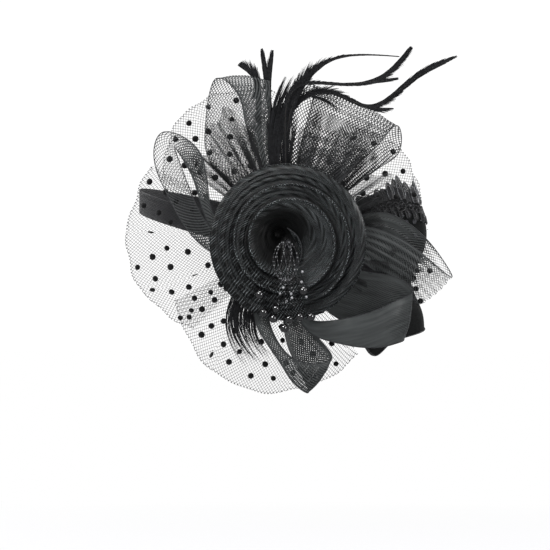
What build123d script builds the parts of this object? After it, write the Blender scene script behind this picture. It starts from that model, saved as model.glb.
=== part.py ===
from build123d import *
import os
from math import cos, exp, pi, radians, sin, sqrt

# Fascinator headpiece: a crinoline flower on a felt base, with ribbon loops, dotted net, feathers and beaded
# stamens, joined to a half mask that goes round the face and an elastic band round the back of the head.
#
# Frame, in millimetres: the origin is the centre of the felt base's flat inner face, where it rests on the
# wearer's right temple. +Y goes into the head, +Z is up, and +X points towards the wearer's face.

# Driving dimensions.
FELT_RADIUS = 31.0
FELT_THICKNESS = 2.5
BUNDLE_RADIUS = 24.0
BUNDLE_FRONT = -14.0
BACKING_RADIUS = 31.0
BACKING_THICKNESS = 1.2
FLOWER_RADIUS = 50.0
RIBBON_THICKNESS = 0.5
NET_THICKNESS = 0.5
NET_ROOT_RADIUS = 25.0
NET_ROOT_Y = -3.6
NET_RIPPLE = 1.8
FEATHER_THICKNESS = 0.6

# The head that the mask and the band go round, as an ellipse seen from above.
HEAD_CENTRE = (-12.0, 80.3)
HEAD_LONG = 101.0
HEAD_WIDE = 75.5
HEAD_REAR = 89.0
FACE_TURN = 20.0
MASK_THICKNESS = 1.2
LINING_THICKNESS = 0.5
MASK_HALF_WIDTH = 70.0
EYE_OFFSET = 32.0
EYE_HEIGHT = -12.0
BAND_WIDTH = 16.0
BAND_THICKNESS = 0.9

# The hair clip behind the felt.
CLIP_Z = 20.0
CLIP_MOUTH_X = -24.0
CLIP_PIN_X = 9.0
CLIP_PIN_Y = 4.4
CLIP_TAIL_X = 20.0
CLIP_PLATE = 0.8
CLIP_WIDTH = 8.0
PIN_RADIUS = 0.8
PIN_CLEARANCE = 0.05
SPRING_WIRE_RADIUS = 0.3
SPRING_RADIUS = 1.6

FORWARD = Vector(cos(radians(FACE_TURN)), -sin(radians(FACE_TURN)), 0)
LEFTWARD = Vector(sin(radians(FACE_TURN)), cos(radians(FACE_TURN)), 0)
OUTWARD_PLANE = Plane(origin=(0, 0, 0), x_dir=(1, 0, 0), z_dir=(0, -1, 0))


def save(name, shape):
    """Writes one named node."""
    export_step(shape, f"parts/{name}.step")


def across_y(radius, back, front):
    """A round disc or cylinder along Y, from its back face to its front face."""
    face = Plane(origin=(0, back, 0), x_dir=(1, 0, 0), z_dir=(0, -1, 0)) * Circle(radius)
    return extrude(face, back - front)


def turned(profile):
    """A solid of revolution about the Y axis, from (radius, y) points."""
    outline = Polyline(*[(r, y, 0) for r, y in profile], close=True)
    return revolve(make_face(outline), axis=Axis.Y)


def sheet(face, thickness):
    """A thin solid that stands equally on both sides of a curved face."""
    return Part() + thicken(face, thickness / 2, both=True)


def ribbon(edge_1, edge_2, thickness=RIBBON_THICKNESS):
    """A ribbon between two edge curves, each given by as many points as the other."""
    face = Face.make_surface_from_curves(Spline(*edge_1).edge(), Spline(*edge_2).edge())
    return sheet(face, thickness)


# --- felt base and hair clip ------------------------------------------------


def clip_box(x0, x1, y0, y1, z0, z1):
    """A block of clip metal between two corners."""
    return Pos((x0 + x1) / 2, (y0 + y1) / 2, (z0 + z1) / 2) * Box(x1 - x0, y1 - y0, z1 - z0)


def clip_pin_rod(radius, z0, z1):
    """A rod on the clip's hinge line."""
    return Pos(CLIP_PIN_X, CLIP_PIN_Y, (z0 + z1) / 2) * Cylinder(radius, z1 - z0)


def clip_base_jaw():
    """Flat jaw glued to the felt, with two ears for the pin."""
    half = CLIP_WIDTH / 2
    low, high = CLIP_Z - half, CLIP_Z + half
    ear_top = CLIP_PIN_Y + 1.8
    jaw = clip_box(CLIP_MOUTH_X, CLIP_TAIL_X, 0, CLIP_PLATE, low, high)
    for z0, z1 in ((low, low + CLIP_PLATE), (high - CLIP_PLATE, high)):
        jaw += clip_box(CLIP_PIN_X - 3, CLIP_PIN_X + 3, 0, ear_top, z0, z1)
    return jaw - clip_pin_rod(PIN_RADIUS, low - 1, high + 1)


def clip_lever_jaw():
    """Sprung jaw with a row of teeth at its mouth and a raised tail to press."""
    gap = 1.0
    low, high = CLIP_Z - CLIP_WIDTH / 2 + gap, CLIP_Z + CLIP_WIDTH / 2 - gap
    under = 2.2
    top = under + CLIP_PLATE
    lever = clip_box(CLIP_MOUTH_X, CLIP_PIN_X, under, top, low, high)
    rise = 5.0
    tail = Polyline(
        (CLIP_PIN_X, under),
        (CLIP_TAIL_X, under + rise),
        (CLIP_TAIL_X, top + rise),
        (CLIP_PIN_X, top),
        close=True,
    )
    lever += Pos(0, 0, low) * extrude(make_face(tail), high - low)
    ear_top = CLIP_PIN_Y + 1.6
    for z0, z1 in ((low, low + CLIP_PLATE), (high - CLIP_PLATE, high)):
        lever += clip_box(CLIP_PIN_X - 2.6, CLIP_PIN_X + 2.4, under, ear_top, z0, z1)
    lever -= clip_box(CLIP_PIN_X - 2.6, CLIP_PIN_X + 3.2, 0, 8, low + 1.2, high - 1.2)
    teeth = 7
    for i in range(teeth):
        x = CLIP_MOUTH_X + 0.6 + 1.6 * i
        lever += clip_box(x, x + 0.8, CLIP_PLATE + 0.1, under, low, low + 0.8)
        lever += clip_box(x, x + 0.8, CLIP_PLATE + 0.1, under, high - 0.8, high)
    return lever - clip_pin_rod(PIN_RADIUS + PIN_CLEARANCE, low - 1, high + 1)


def clip_spring():
    """Coil spring wound round the pin between the lever's ears."""
    turns, pitch = 3, 0.75
    coil = Helix(pitch, turns * pitch, SPRING_RADIUS)
    wire = sweep(Plane(origin=coil @ 0, z_dir=coil % 0) * Circle(SPRING_WIRE_RADIUS), path=coil)
    return Pos(CLIP_PIN_X, CLIP_PIN_Y, CLIP_Z - turns * pitch / 2) * wire


# --- flower -----------------------------------------------------------------


def flower_outer_coil():
    """Outer turns of the wound crinoline: a rounded rim and a fall of pleats towards the middle."""
    profile = [(30, -15.2), (40, -16), (47, -17.6), (FLOWER_RADIUS, -20), (49, -22.6), (46, -23.6)]
    pleats, inner, pitch = 4, 42.6, 3.1
    for i in range(pleats):
        r = inner - i * pitch
        profile += [(r, -22.2 + 0.9 * i), (r - 0.9, -23.4 + 0.9 * i)]
    return turned(profile + [(30, -17.6)])


def flower_inner_coil():
    """Inner turns: a raised trumpet that narrows to the middle of the flower."""
    return turned(
        [(9.6, -15.2), (29.6, -15.2), (29.4, -31), (28.4, -33.6), (26.4, -34.2), (24.6, -32.6), (18, -25.5), (9.6, -17.4)]
    )


def flower_centre_roll():
    """Tight roll where the braid starts, open on one side."""
    outer, wall, depth = 8.6, 1.4, 9.0
    ring = Circle(outer) - Circle(outer - wall)
    gap = Pos(-outer, outer / 2) * Rectangle(2 * outer, outer)
    return Pos(0, -16.2, 0) * extrude(OUTWARD_PLANE * (ring - gap), depth)


# --- beaded stamens ---------------------------------------------------------

BEAD_RADIUS = 2.8
BEAD_PLACES = [
    (-18.0, -33.5),
    (-15.4, -45.1),
    (-7.6, -42.6),
    (-9.4, -48.8),
    (0.8, -49.2),
    (-2.4, -55.0),
    (7.6, -47.7),
    (14.6, -47.7),
    (9.6, -31.0),
]
SEED_PLACES = [(2, -33), (2.4, -35.6), (8.5, -25.5), (9, -19), (11.5, -35), (-1, -37.6), (-5, -33), (-3, -29)]
SEED_RADIUS = 0.9
SEED_Y = -43.0
STEM_RADIUS = 2.0
STEM_FRONT = -26.6
WIRE_RADIUS = 0.25


def bead_depth(x, z):
    """How far forward a bead hangs, so that it clears the turn of crinoline behind it."""
    r = sqrt(x * x + z * z)
    return -39.0 if r < 33 else -27.6 - 11.4 * max(0.0, 1 - (r - 33) / 9)


def bead_places():
    """The centre of each round bead, from left to right."""
    return [Vector(x, bead_depth(x, z), z) for x, z in sorted(BEAD_PLACES)]


def stamen_wires():
    """Fine wires from the end of the bound stems, over the raised coil, each into the top of its bead."""
    wires = []
    places = bead_places()
    for i, end in enumerate(places):
        a = radians(195 + 150 * i / (len(places) - 1))
        start = Vector(STEM_RADIUS * 0.85 * cos(a), STEM_FRONT - 0.05, STEM_RADIUS * 0.85 * sin(a))
        crest = Vector(0.62 * end.X, -37.4, -23.0)
        tip = end + Vector(0, 0, BEAD_RADIUS - 0.4)
        path = Spline(start, crest, tip, tangents=[(0, -1, -0.9), (0, 0.25, -1)])
        wires.append(sweep(Plane(origin=path @ 0, z_dir=path % 0) * Circle(WIRE_RADIUS), path=path))
    return Compound(wires)


def stamen_mesh_pod():
    """Pod of beaded lattice on a short neck, in front of the wires."""
    pod = Pos(-1.5, -39.4, -12.5) * Rot(-12, 0, 0) * scale(Sphere(1), by=(8.0, 2.2, 13.0))
    neck = Spline((0, STEM_FRONT - 0.05, 0.8), (-0.4, -33, 0.4), (-1.2, -36.6, -4), tangents=[(0, -1, 0), (0, -1, -1)])
    return pod + sweep(Plane(origin=neck @ 0, z_dir=neck % 0) * Circle(0.9), path=neck)


# --- mask and band ----------------------------------------------------------


def mask_reach(t, z):
    """How far the mask stands forward of the head's centre, at t to the wearer's left and height z."""
    long_axis = HEAD_LONG - (0.0048 if z > 0 else 0.0006) * z * z
    nose = 8.5 - (0.0035 * z * z if z > 0 else 0)
    eye_hollow = 11.0 * exp(-(((z + 25.0) / 17.0) ** 2)) * exp(-((t / 28.0) ** 2))
    return long_axis * sqrt(1 - (t / HEAD_WIDE) ** 2) + nose * exp(-((t / 13.0) ** 2)) - eye_hollow


def mask_point(t, z):
    """A point on the inner face of the mask's shell."""
    s = mask_reach(t, z)
    centre = Vector(HEAD_CENTRE[0], HEAD_CENTRE[1], z)
    return centre + FORWARD * s + LEFTWARD * t


def mask_normal(t, z):
    """The way out of the mask's face at a point."""
    step = 0.5
    along = mask_point(t + step, z) - mask_point(t - step, z)
    upward = mask_point(t, z + step) - mask_point(t, z - step)
    return along.cross(upward).normalized()


def mask_face(offset, low, high, half_width=MASK_HALF_WIDTH + 2.5, rows=18):
    """The mask's curved face, moved out by an offset."""
    columns = 31
    grid = []
    for i in range(columns):
        across = -1 + 2 * i / (columns - 1)
        t = half_width * sin(across * pi / 2)
        heights = [low + (high - low) * j / (rows - 1) for j in range(rows)]
        grid.append([mask_point(t, z) + mask_normal(t, z) * offset for z in heights])
    return Face.make_surface_from_array_of_points(grid, tol=0.02)


def face_prism(sketch):
    """A sketch seen from in front of the face, drawn through the mask. Its x is towards the wearer's left."""
    plane = Plane(origin=(*HEAD_CENTRE, 0), x_dir=LEFTWARD, z_dir=FORWARD)
    return extrude(plane.offset(15) * sketch, 115)


def mirrored(half):
    """A closed outline from the half on the wearer's left, top first."""
    other = [(-t, z) for t, z in reversed(half) if t]
    return half + other


def mask_outline():
    """The mask's outline: brow, band ends, nose, a long cheek point on the wearer's right and a short one."""
    end_top, end_low, nose = (MASK_HALF_WIDTH - 1, 5), (MASK_HALF_WIDTH - 1, -23), (0, -57.6)
    top = Spline((0, 31), (9, 33), (18, 35.5), (28, 34), (43, 28), (55, 20), (63, 11), end_top)
    end = Line(end_top, end_low)
    short_point = [end_low, (60, -37), (46, -50), (36, -56), (27, -54), (15, -54), nose]
    long_point = [end_low, (60, -37), (46, -59), (36, -73.5), (27, -66.5), (15, -62), nose]
    left_low = Spline(*short_point, tangents=[(-0.5, -1), (-1, -0.2)])
    right_low = Spline(*long_point, tangents=[(-0.5, -1), (-1, 0.3)])
    right = [mirror(edge, about=Plane.YZ) for edge in (top, end, right_low)]
    return make_face(Curve() + [top, end, left_low] + right)


def eye_hole(side):
    """An almond eye opening, on the wearer's left for side 1 and right for -1."""
    half, rise, sag = 22.0, 10.0, 9.5
    upper = ThreePointArc((-half, 0), (0, rise), (half, 0))
    lower = ThreePointArc((half, 0), (0, -sag), (-half, 0))
    return Pos(side * EYE_OFFSET, EYE_HEIGHT) * Rot(0, 0, side * 6) * make_face(Curve() + [upper, lower])


def mask_layer(offset, thickness):
    """A layer of the mask, cut to its outline and eye holes."""
    slab = Part() + thicken(mask_face(offset, -82, 50), thickness)
    layer = slab & face_prism(mask_outline())
    for side in (-1, 1):
        layer -= face_prism(eye_hole(side))
    return layer


def lace_outline():
    """A strip of scallops along the top of the mask."""
    scallops, half_width = 17, 52.0
    strip = None
    for i in range(scallops):
        t = -half_width + 2 * half_width * i / (scallops - 1)
        peak = exp(-(((abs(t) - 16) / 9) ** 2))
        z = 30.5 + 2.5 * peak - 0.009 * max(abs(t) - 22, 0) ** 2
        leaf = Pos(t, z) * Rot(0, 0, -0.35 * t) * Ellipse(5.2, 6.5 + 1.5 * peak)
        strip = leaf if strip is None else strip + leaf
    return strip


def mask_lace_trim():
    """Embroidered scallops that stand on the mask's top edge."""
    gap, thickness = 0.1, 0.6
    slab = Part() + thicken(mask_face(MASK_THICKNESS + gap, 4, 54, 60, rows=9), thickness)
    return slab & face_prism(lace_outline())


def on_mask(t, z, lift):
    """A place on the mask's outer face, raised by a lift, with its axis out of the face."""
    normal = mask_normal(t, z)
    return Plane(origin=mask_point(t, z) + normal * (MASK_THICKNESS + lift), z_dir=normal)


def mask_sequins():
    """Flat sequins sewn in rows between the eye and the nose, and over the brow."""
    radius, thickness = 1.6, 0.3
    places = []
    for row in range(4):
        for column in range(7):
            t = 9.5 + 5.6 * column + 2.8 * (row % 2)
            z = 5.0 + 4.6 * row - 0.004 * t * t
            places += [(t, z), (-t, z)]
    return Compound([on_mask(t, z, 0.45) * extrude(Circle(radius), thickness) for t, z in places])


def mask_eye_beads():
    """A row of small beads round each eye hole."""
    radius, count, half, rise = 1.1, 22, 24.6, 12.6
    beads = []
    for side in (-1, 1):
        for i in range(count):
            a = 2 * pi * i / count
            tilt = radians(side * 6)
            u, v = half * cos(a), rise * sin(a) * (0.86 + 0.14 * abs(sin(a)))
            t = side * EYE_OFFSET + u * cos(tilt) - v * sin(tilt)
            z = EYE_HEIGHT + u * sin(tilt) + v * cos(tilt)
            beads.append(on_mask(t, z, radius + 0.3) * Sphere(radius))
    return Compound(beads)


def band_height(s):
    """The middle of the band: it climbs from the mask's ends to the back of the head."""
    return 7.6 - 0.25 * s


def head_band():
    """Woven elastic from one end of the mask round the back of the head to the other."""
    inset = LINING_THICKNESS + BAND_THICKNESS / 2 + 0.15
    wide_axis = HEAD_WIDE - inset
    start, columns = 57.0, 41
    grid = []
    for i in range(columns):
        a = radians(start + (360 - 2 * start) * i / (columns - 1))
        long_axis = HEAD_LONG - inset if cos(a) > 0 else HEAD_REAR
        s, t = long_axis * cos(a), wide_axis * sin(a)
        foot = Vector(*HEAD_CENTRE, band_height(s)) + FORWARD * s + LEFTWARD * t
        grid.append([foot + Vector(0, 0, BAND_WIDTH * (j / 3 - 0.5)) for j in range(4)])
    return sheet(Face.make_surface_from_array_of_points(grid, tol=0.02), BAND_THICKNESS)


# --- ribbon loops -----------------------------------------------------------


def left_ribbon_loop():
    """Leaf-shaped loop behind the flower, towards the back of the head."""
    return ribbon(
        [
            (-26, -6, -9), (-45, -6, -8), (-64.6, -5, 7.7), (-78.7, -4, 32.6), (-86.4, -5.5, 58.9), (-80, -9, 71),
            (-64.6, -14, 65.9), (-53.8, -18, 51.2), (-50.6, -18, 26.9), (-40, -12, 8), (-25, -9.5, 1),
        ],
        [
            (-24.8, -6, -1), (-43, -6, 4), (-57, -5, 20), (-64, -4, 36), (-70, -5.5, 52), (-73, -8, 61),
            (-69, -9, 55), (-62, -9.5, 43), (-56, -9.5, 25), (-44, -9.3, 2), (-25.4, -8.6, -5),
        ],
    )


def top_ribbon_loop():
    """Tall loop above the flower, with a square fold at its top."""
    return ribbon(
        [
            (-9, -6, 23.2), (-30, -6.4, 36), (-50, -6.6, 52), (-53, -6.6, 75), (-50, -6.8, 98), (-45.5, -8, 106),
            (-35, -10.5, 99), (-28, -11.4, 80), (-21, -10.6, 57), (-13, -9, 38), (-9.5, -8.6, 22.6),
        ],
        [
            (-3.5, -6, 24.6), (-14, -6.4, 40), (-16, -6.6, 58), (-15, -6.6, 80), (-13.5, -6.9, 97), (-12.5, -8.4, 104),
            (-11.5, -10.4, 96), (-12, -11.4, 77), (-12, -10.6, 57), (-7, -9, 40), (-4, -8.6, 24.3),
        ],
    )


def crown_ribbon_loop():
    """Wide loop over the front of the crown."""
    return ribbon(
        [
            (7, -6, 23.6), (1.5, -6, 46), (2.5, -5.5, 70), (6, -5.2, 92), (16, -7.4, 101.8),
            (14, -10.6, 84), (8, -11, 62), (5, -9.6, 42), (6.6, -8.6, 23.7),
        ],
        [
            (17, -6, 18), (40, -6, 34), (62, -4.5, 50), (73, -3.5, 62), (71, -6, 75),
            (60, -11, 65), (47, -12.5, 52), (32, -10.6, 37), (16.6, -8.6, 18.4),
        ],
    )


def brow_ribbon_loop():
    """Loop across the near side of the mask, folded beyond the nose."""
    return ribbon(
        [
            (24, -6, 7), (48, -4, 17.5), (67, 0, 18), (86, 4, 6), (101, 6, -12), (106.5, 5, -22),
            (96, 1, -15), (75, -4, 1), (50, -8, 10), (24.2, -8.6, 5),
        ],
        [
            (24.8, -6, -3), (46, -4, -8), (62, 0, -14), (72, 3, -25), (79, 5, -35), (85, 4, -41),
            (76, 1, -31), (61, -1, -22), (47, -6, -12), (24.6, -8.6, -4),
        ],
    )


def cheek_ribbon_loop():
    """Broad loop below the flower towards the nose, with its front band turned up."""
    return ribbon(
        [
            (22.4, -5.2, -11), (45, -5, -18), (64, -4.4, -21), (76, -4, -26), (80, -6, -32),
            (73, -11, -36), (61.4, -15, -41.6), (47, -16.6, -46.6), (31, -16, -50), (15, -12.6, -50), (5, -8.6, -25),
        ],
        [
            (13, -5.2, -21.4), (34, -5, -38), (52, -4.4, -50), (67, -4, -58), (74.6, -5, -62),
            (70, -9.4, -65), (60, -13, -67.4), (46, -15, -67.4), (30, -14, -64.4), (14.6, -11, -58.6), (-1.6, -8.6, -25),
        ],
    )


def jaw_ribbon_loop():
    """Narrow loop that hangs below the flower to a pointed fold."""
    return ribbon(
        [
            (3.6, -6, -24.6), (9.6, -6, -42), (18, -6.2, -60), (27.5, -7, -76),
            (16, -10.4, -78), (4, -13, -75), (-8, -13, -61), (-13, -11, -44), (-9, -8.8, -23.6),
        ],
        [
            (-3.6, -6, -24.6), (-3, -6, -46), (2, -6.2, -72), (12.8, -7, -97),
            (4, -10.4, -91), (-3.6, -13, -80), (-15, -13, -63), (-22, -11, -46), (-16, -8.8, -19.4),
        ],
    )


# --- dotted net -------------------------------------------------------------


def net_fan(start, end, reach, depth, folds, peak=0.5, dip=0.14):
    """A gathered fan of net behind the loops, between two bearings in degrees from +X. Its rim is furthest
    out at the peak, falls in by the dip towards its sides, and stands back by the depth."""
    columns, rows = 12 * folds + 1, 7
    grid = []
    for i in range(columns):
        across = i / (columns - 1)
        a = radians(start + (end - start) * across)
        rim = reach * (1 - dip * ((across - peak) / max(peak, 1 - peak)) ** 2)
        line = []
        for j in range(rows):
            out = j / (rows - 1)
            r = NET_ROOT_RADIUS + (rim - NET_ROOT_RADIUS) * out
            ripple = NET_RIPPLE * out * cos(2 * pi * folds * across)
            line.append(Vector(r * cos(a), NET_ROOT_Y + depth * out**1.6 + ripple, r * sin(a)))
        grid.append(line)
    return sheet(Face.make_surface_from_array_of_points(grid, tol=0.05), NET_THICKNESS)


# --- feathers ---------------------------------------------------------------


def feather(spine, widths, depth, tilt=0.0, swing=0.0):
    """A flat feather: a spine of (x, z) points with its width at each, at a depth in front of the felt.
    Tilt leans it forward as it rises, and swing turns it about its stalk."""
    line = Spline(*spine)
    last = len(spine) - 1
    left, right = [], []
    for i, width in enumerate(widths):
        at = i / last
        along = line % at
        point = line @ at
        across = Vector(-along.Y, along.X, 0) * (width / 2)
        left.append(point + across)
        right.append(point - across)
    outline = Curve() + [Spline(*left), Line(left[-1], right[-1]), Spline(*right), Line(left[0], right[0])]
    blade = extrude(make_face(outline), FEATHER_THICKNESS)
    root_x, root_z = spine[0]
    blade = Pos(-root_x, -root_z, 0) * blade
    stand = Plane(origin=(root_x, depth, root_z), x_dir=(1, 0, 0), z_dir=(0, -1, 0))
    placed = stand.location * Rot(tilt, 0, 0) * Rot(0, -swing, 0) * blade
    return placed


def feathers():
    """Every feather by name."""
    lean = 5.0
    return {
        "biot_curled": feather(
            [(-8.6, 23.6), (-17, 60), (-19, 92), (-22, 107), (-31, 115)], [2, 4, 6, 7, 3], -4.4
        ),
        "biot_forked": feather([(-2.6, 24.8), (-8.5, 62), (-12, 98), (-13.6, 124)], [2, 4, 5.5, 5], -4.4),
        "hackle_plume": feather(
            [(-4.6, 24.6), (-7.4, 48), (-4.6, 78), (3, 106)], [4, 8, 14, 12], -9.9, lean
        ),
        "coque_feather_upper": feather(
            [(-2.4, 24.8), (-2, 52), (5, 92), (27, 116), (50, 120), (71, 119)],
            [2, 4, 8, 6, 2.4, 1.2],
            -11.5,
            lean,
            -3,
        ),
        "coque_feather_middle": feather(
            [(-2.4, 24.8), (-1.5, 56), (6, 99), (34, 101), (58, 105), (79, 125)],
            [2, 4, 5, 2.4, 4, 3],
            -12.3,
            lean,
            2,
        ),
        "coque_feather_lower": feather(
            [(0.8, 25), (-1, 58), (6, 88), (24, 96), (52, 88), (78, 103), (109, 120)],
            [2, 3.6, 5, 4.4, 3, 4.6, 1.6],
            -8.8,
            lean,
            -5,
        ),
        "hackle_lower_rear": feather([(-15.6, -19.6), (-27, -42), (-31, -58), (-27, -76)], [3, 10, 15, 12], -7.1),
        "hackle_lower_front": feather([(-7, -24), (-9, -44), (-4, -62), (5, -79)], [3, 7, 11, 9], -7.1),
    }


def main():
    """Builds every node and writes it to parts/."""
    os.makedirs("parts", exist_ok=True)
    save("felt_base", across_y(FELT_RADIUS, 0, -FELT_THICKNESS))
    save("clip_base_jaw", clip_base_jaw())
    save("clip_lever_jaw", clip_lever_jaw())
    save("clip_hinge_pin", clip_pin_rod(PIN_RADIUS, CLIP_Z - CLIP_WIDTH / 2, CLIP_Z + CLIP_WIDTH / 2))
    save("clip_spring", clip_spring())

    save("gathered_ribbon_ends", across_y(BUNDLE_RADIUS, -FELT_THICKNESS, BUNDLE_FRONT))
    save("flower_backing_disc", across_y(BACKING_RADIUS, BUNDLE_FRONT, BUNDLE_FRONT - BACKING_THICKNESS))
    save("flower_outer_coil", flower_outer_coil())
    save("flower_inner_coil", flower_inner_coil())
    save("flower_centre_roll", flower_centre_roll())

    save("stamen_stem_bundle", across_y(STEM_RADIUS, -15.4, STEM_FRONT))
    save("stamen_wires", stamen_wires())
    save("stamen_beads", Compound([Pos(place) * Sphere(BEAD_RADIUS) for place in bead_places()]))
    seeds = [Pos(x, SEED_Y, z) * Sphere(SEED_RADIUS) for x, z in SEED_PLACES]
    save("stamen_seed_beads", Compound(seeds))
    save("stamen_mesh_pod", stamen_mesh_pod())

    save("mask_shell", mask_layer(0, MASK_THICKNESS))
    save("mask_lining", mask_layer(-LINING_THICKNESS, LINING_THICKNESS))
    save("mask_lace_trim", mask_lace_trim())
    save("mask_sequins", mask_sequins())
    save("mask_eye_beads", mask_eye_beads())
    save("head_band", head_band())

    save("left_ribbon_loop", left_ribbon_loop())
    save("top_ribbon_loop", top_ribbon_loop())
    save("crown_ribbon_loop", crown_ribbon_loop())
    save("brow_ribbon_loop", brow_ribbon_loop())
    save("cheek_ribbon_loop", cheek_ribbon_loop())
    save("jaw_ribbon_loop", jaw_ribbon_loop())

    save("dotted_net_forehead", net_fan(9, 60, 98, depth=15, folds=2))
    save("dotted_net_crown", net_fan(92, 149, 110, depth=12, folds=2, dip=0.12))
    save("dotted_net_back", net_fan(151, 214, 110, depth=20, folds=3, peak=0.3, dip=0.17))
    save("dotted_net_cheek", net_fan(216, 306, 101, depth=8, folds=3))

    for name, shape in feathers().items():
        save(name, shape)


main()
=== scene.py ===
from math import cos, exp, pi, radians, sin, sqrt

import bmesh
import bpy
import numpy as np
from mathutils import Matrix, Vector, noise


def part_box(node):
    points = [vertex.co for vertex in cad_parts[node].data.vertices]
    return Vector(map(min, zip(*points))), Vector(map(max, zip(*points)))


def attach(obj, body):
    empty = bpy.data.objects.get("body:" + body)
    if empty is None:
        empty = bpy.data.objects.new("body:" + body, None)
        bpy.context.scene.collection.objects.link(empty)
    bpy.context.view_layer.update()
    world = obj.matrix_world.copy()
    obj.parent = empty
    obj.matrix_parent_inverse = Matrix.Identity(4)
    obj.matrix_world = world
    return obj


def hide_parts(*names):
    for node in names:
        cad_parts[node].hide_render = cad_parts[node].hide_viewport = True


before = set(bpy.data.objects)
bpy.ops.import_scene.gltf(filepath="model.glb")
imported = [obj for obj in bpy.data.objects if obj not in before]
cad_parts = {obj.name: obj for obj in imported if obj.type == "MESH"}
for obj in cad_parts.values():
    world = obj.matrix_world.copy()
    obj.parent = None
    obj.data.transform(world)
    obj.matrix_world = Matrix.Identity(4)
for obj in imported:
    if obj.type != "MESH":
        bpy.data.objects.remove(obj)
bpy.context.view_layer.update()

# Lengths are in millimetres until a mesh is made, and MM turns them into metres. The frame is the CAD's: the
# origin is the middle of the felt's inner face, +Y goes into the head, +Z is up, +X is towards the face.
MM = 0.001
BODY = "headpiece"
rng = np.random.default_rng(11)


# --- curves and meshes --------------------------------------------------------


def run_of(points):
    """The distance travelled at each of a row of points."""
    return np.cumsum(np.r_[0, np.linalg.norm(np.diff(points, axis=0), axis=1)])


def length_of(points):
    """The length of a row of points."""
    return float(np.linalg.norm(np.diff(points, axis=0), axis=1).sum())


def knots_of(points):
    """Distances along a row of points, from 0 to 1."""
    run = run_of(np.array(points, float))
    return run / run[-1]


def about_y(radius, y, bearing):
    """Points at a radius from the Y axis, at a depth and a bearing."""
    radius, y, bearing = np.broadcast_arrays(radius, y, bearing)
    return np.stack([radius * np.cos(bearing), y, radius * np.sin(bearing)], -1)


def spline(points, count, knots=None):
    """A natural cubic curve through points, sampled evenly."""
    p = np.array(points, float)
    k = knots_of(p) if knots is None else np.array(knots, float)
    n = len(p)
    h = np.diff(k)
    a = np.eye(n)
    rhs = np.zeros_like(p)
    for i in range(1, n - 1):
        a[i, i - 1 : i + 2] = h[i - 1], 2 * (h[i - 1] + h[i]), h[i]
        rhs[i] = 6 * ((p[i + 1] - p[i]) / h[i] - (p[i] - p[i - 1]) / h[i - 1])
    second = np.linalg.solve(a, rhs)
    x = np.linspace(0, 1, count)
    j = np.clip(np.searchsorted(k, x) - 1, 0, n - 2)
    left = ((k[j + 1] - x) / h[j])[:, None]
    right = ((x - k[j]) / h[j])[:, None]
    bend = (left**3 - left) * second[j] + (right**3 - right) * second[j + 1]
    return left * p[j] + right * p[j + 1] + bend * (h[j] ** 2)[:, None] / 6


def unit(v):
    """Vectors of length 1, along the last axis."""
    return v / np.maximum(np.linalg.norm(v, axis=-1, keepdims=True), 1e-9)


def smooth_step(x):
    """0 below 0, 1 above 1, and smooth between."""
    x = np.clip(x, 0, 1)
    return x * x * (3 - 2 * x)


def ruffle(points, scale, strength, seed):
    """Soft noise for each point, for crumpled cloth."""
    flat = points.reshape(-1, 3) * scale
    shift = Vector((seed * 3.1, seed * 1.7, seed * 2.3))
    values = [noise.noise(Vector(p) + shift) for p in flat]
    return np.array(values).reshape(points.shape[:-1]) * strength


def add_object(name, data):
    """A new object in the scene."""
    obj = bpy.data.objects.new(name, data)
    bpy.context.scene.collection.objects.link(obj)
    return obj


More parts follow.
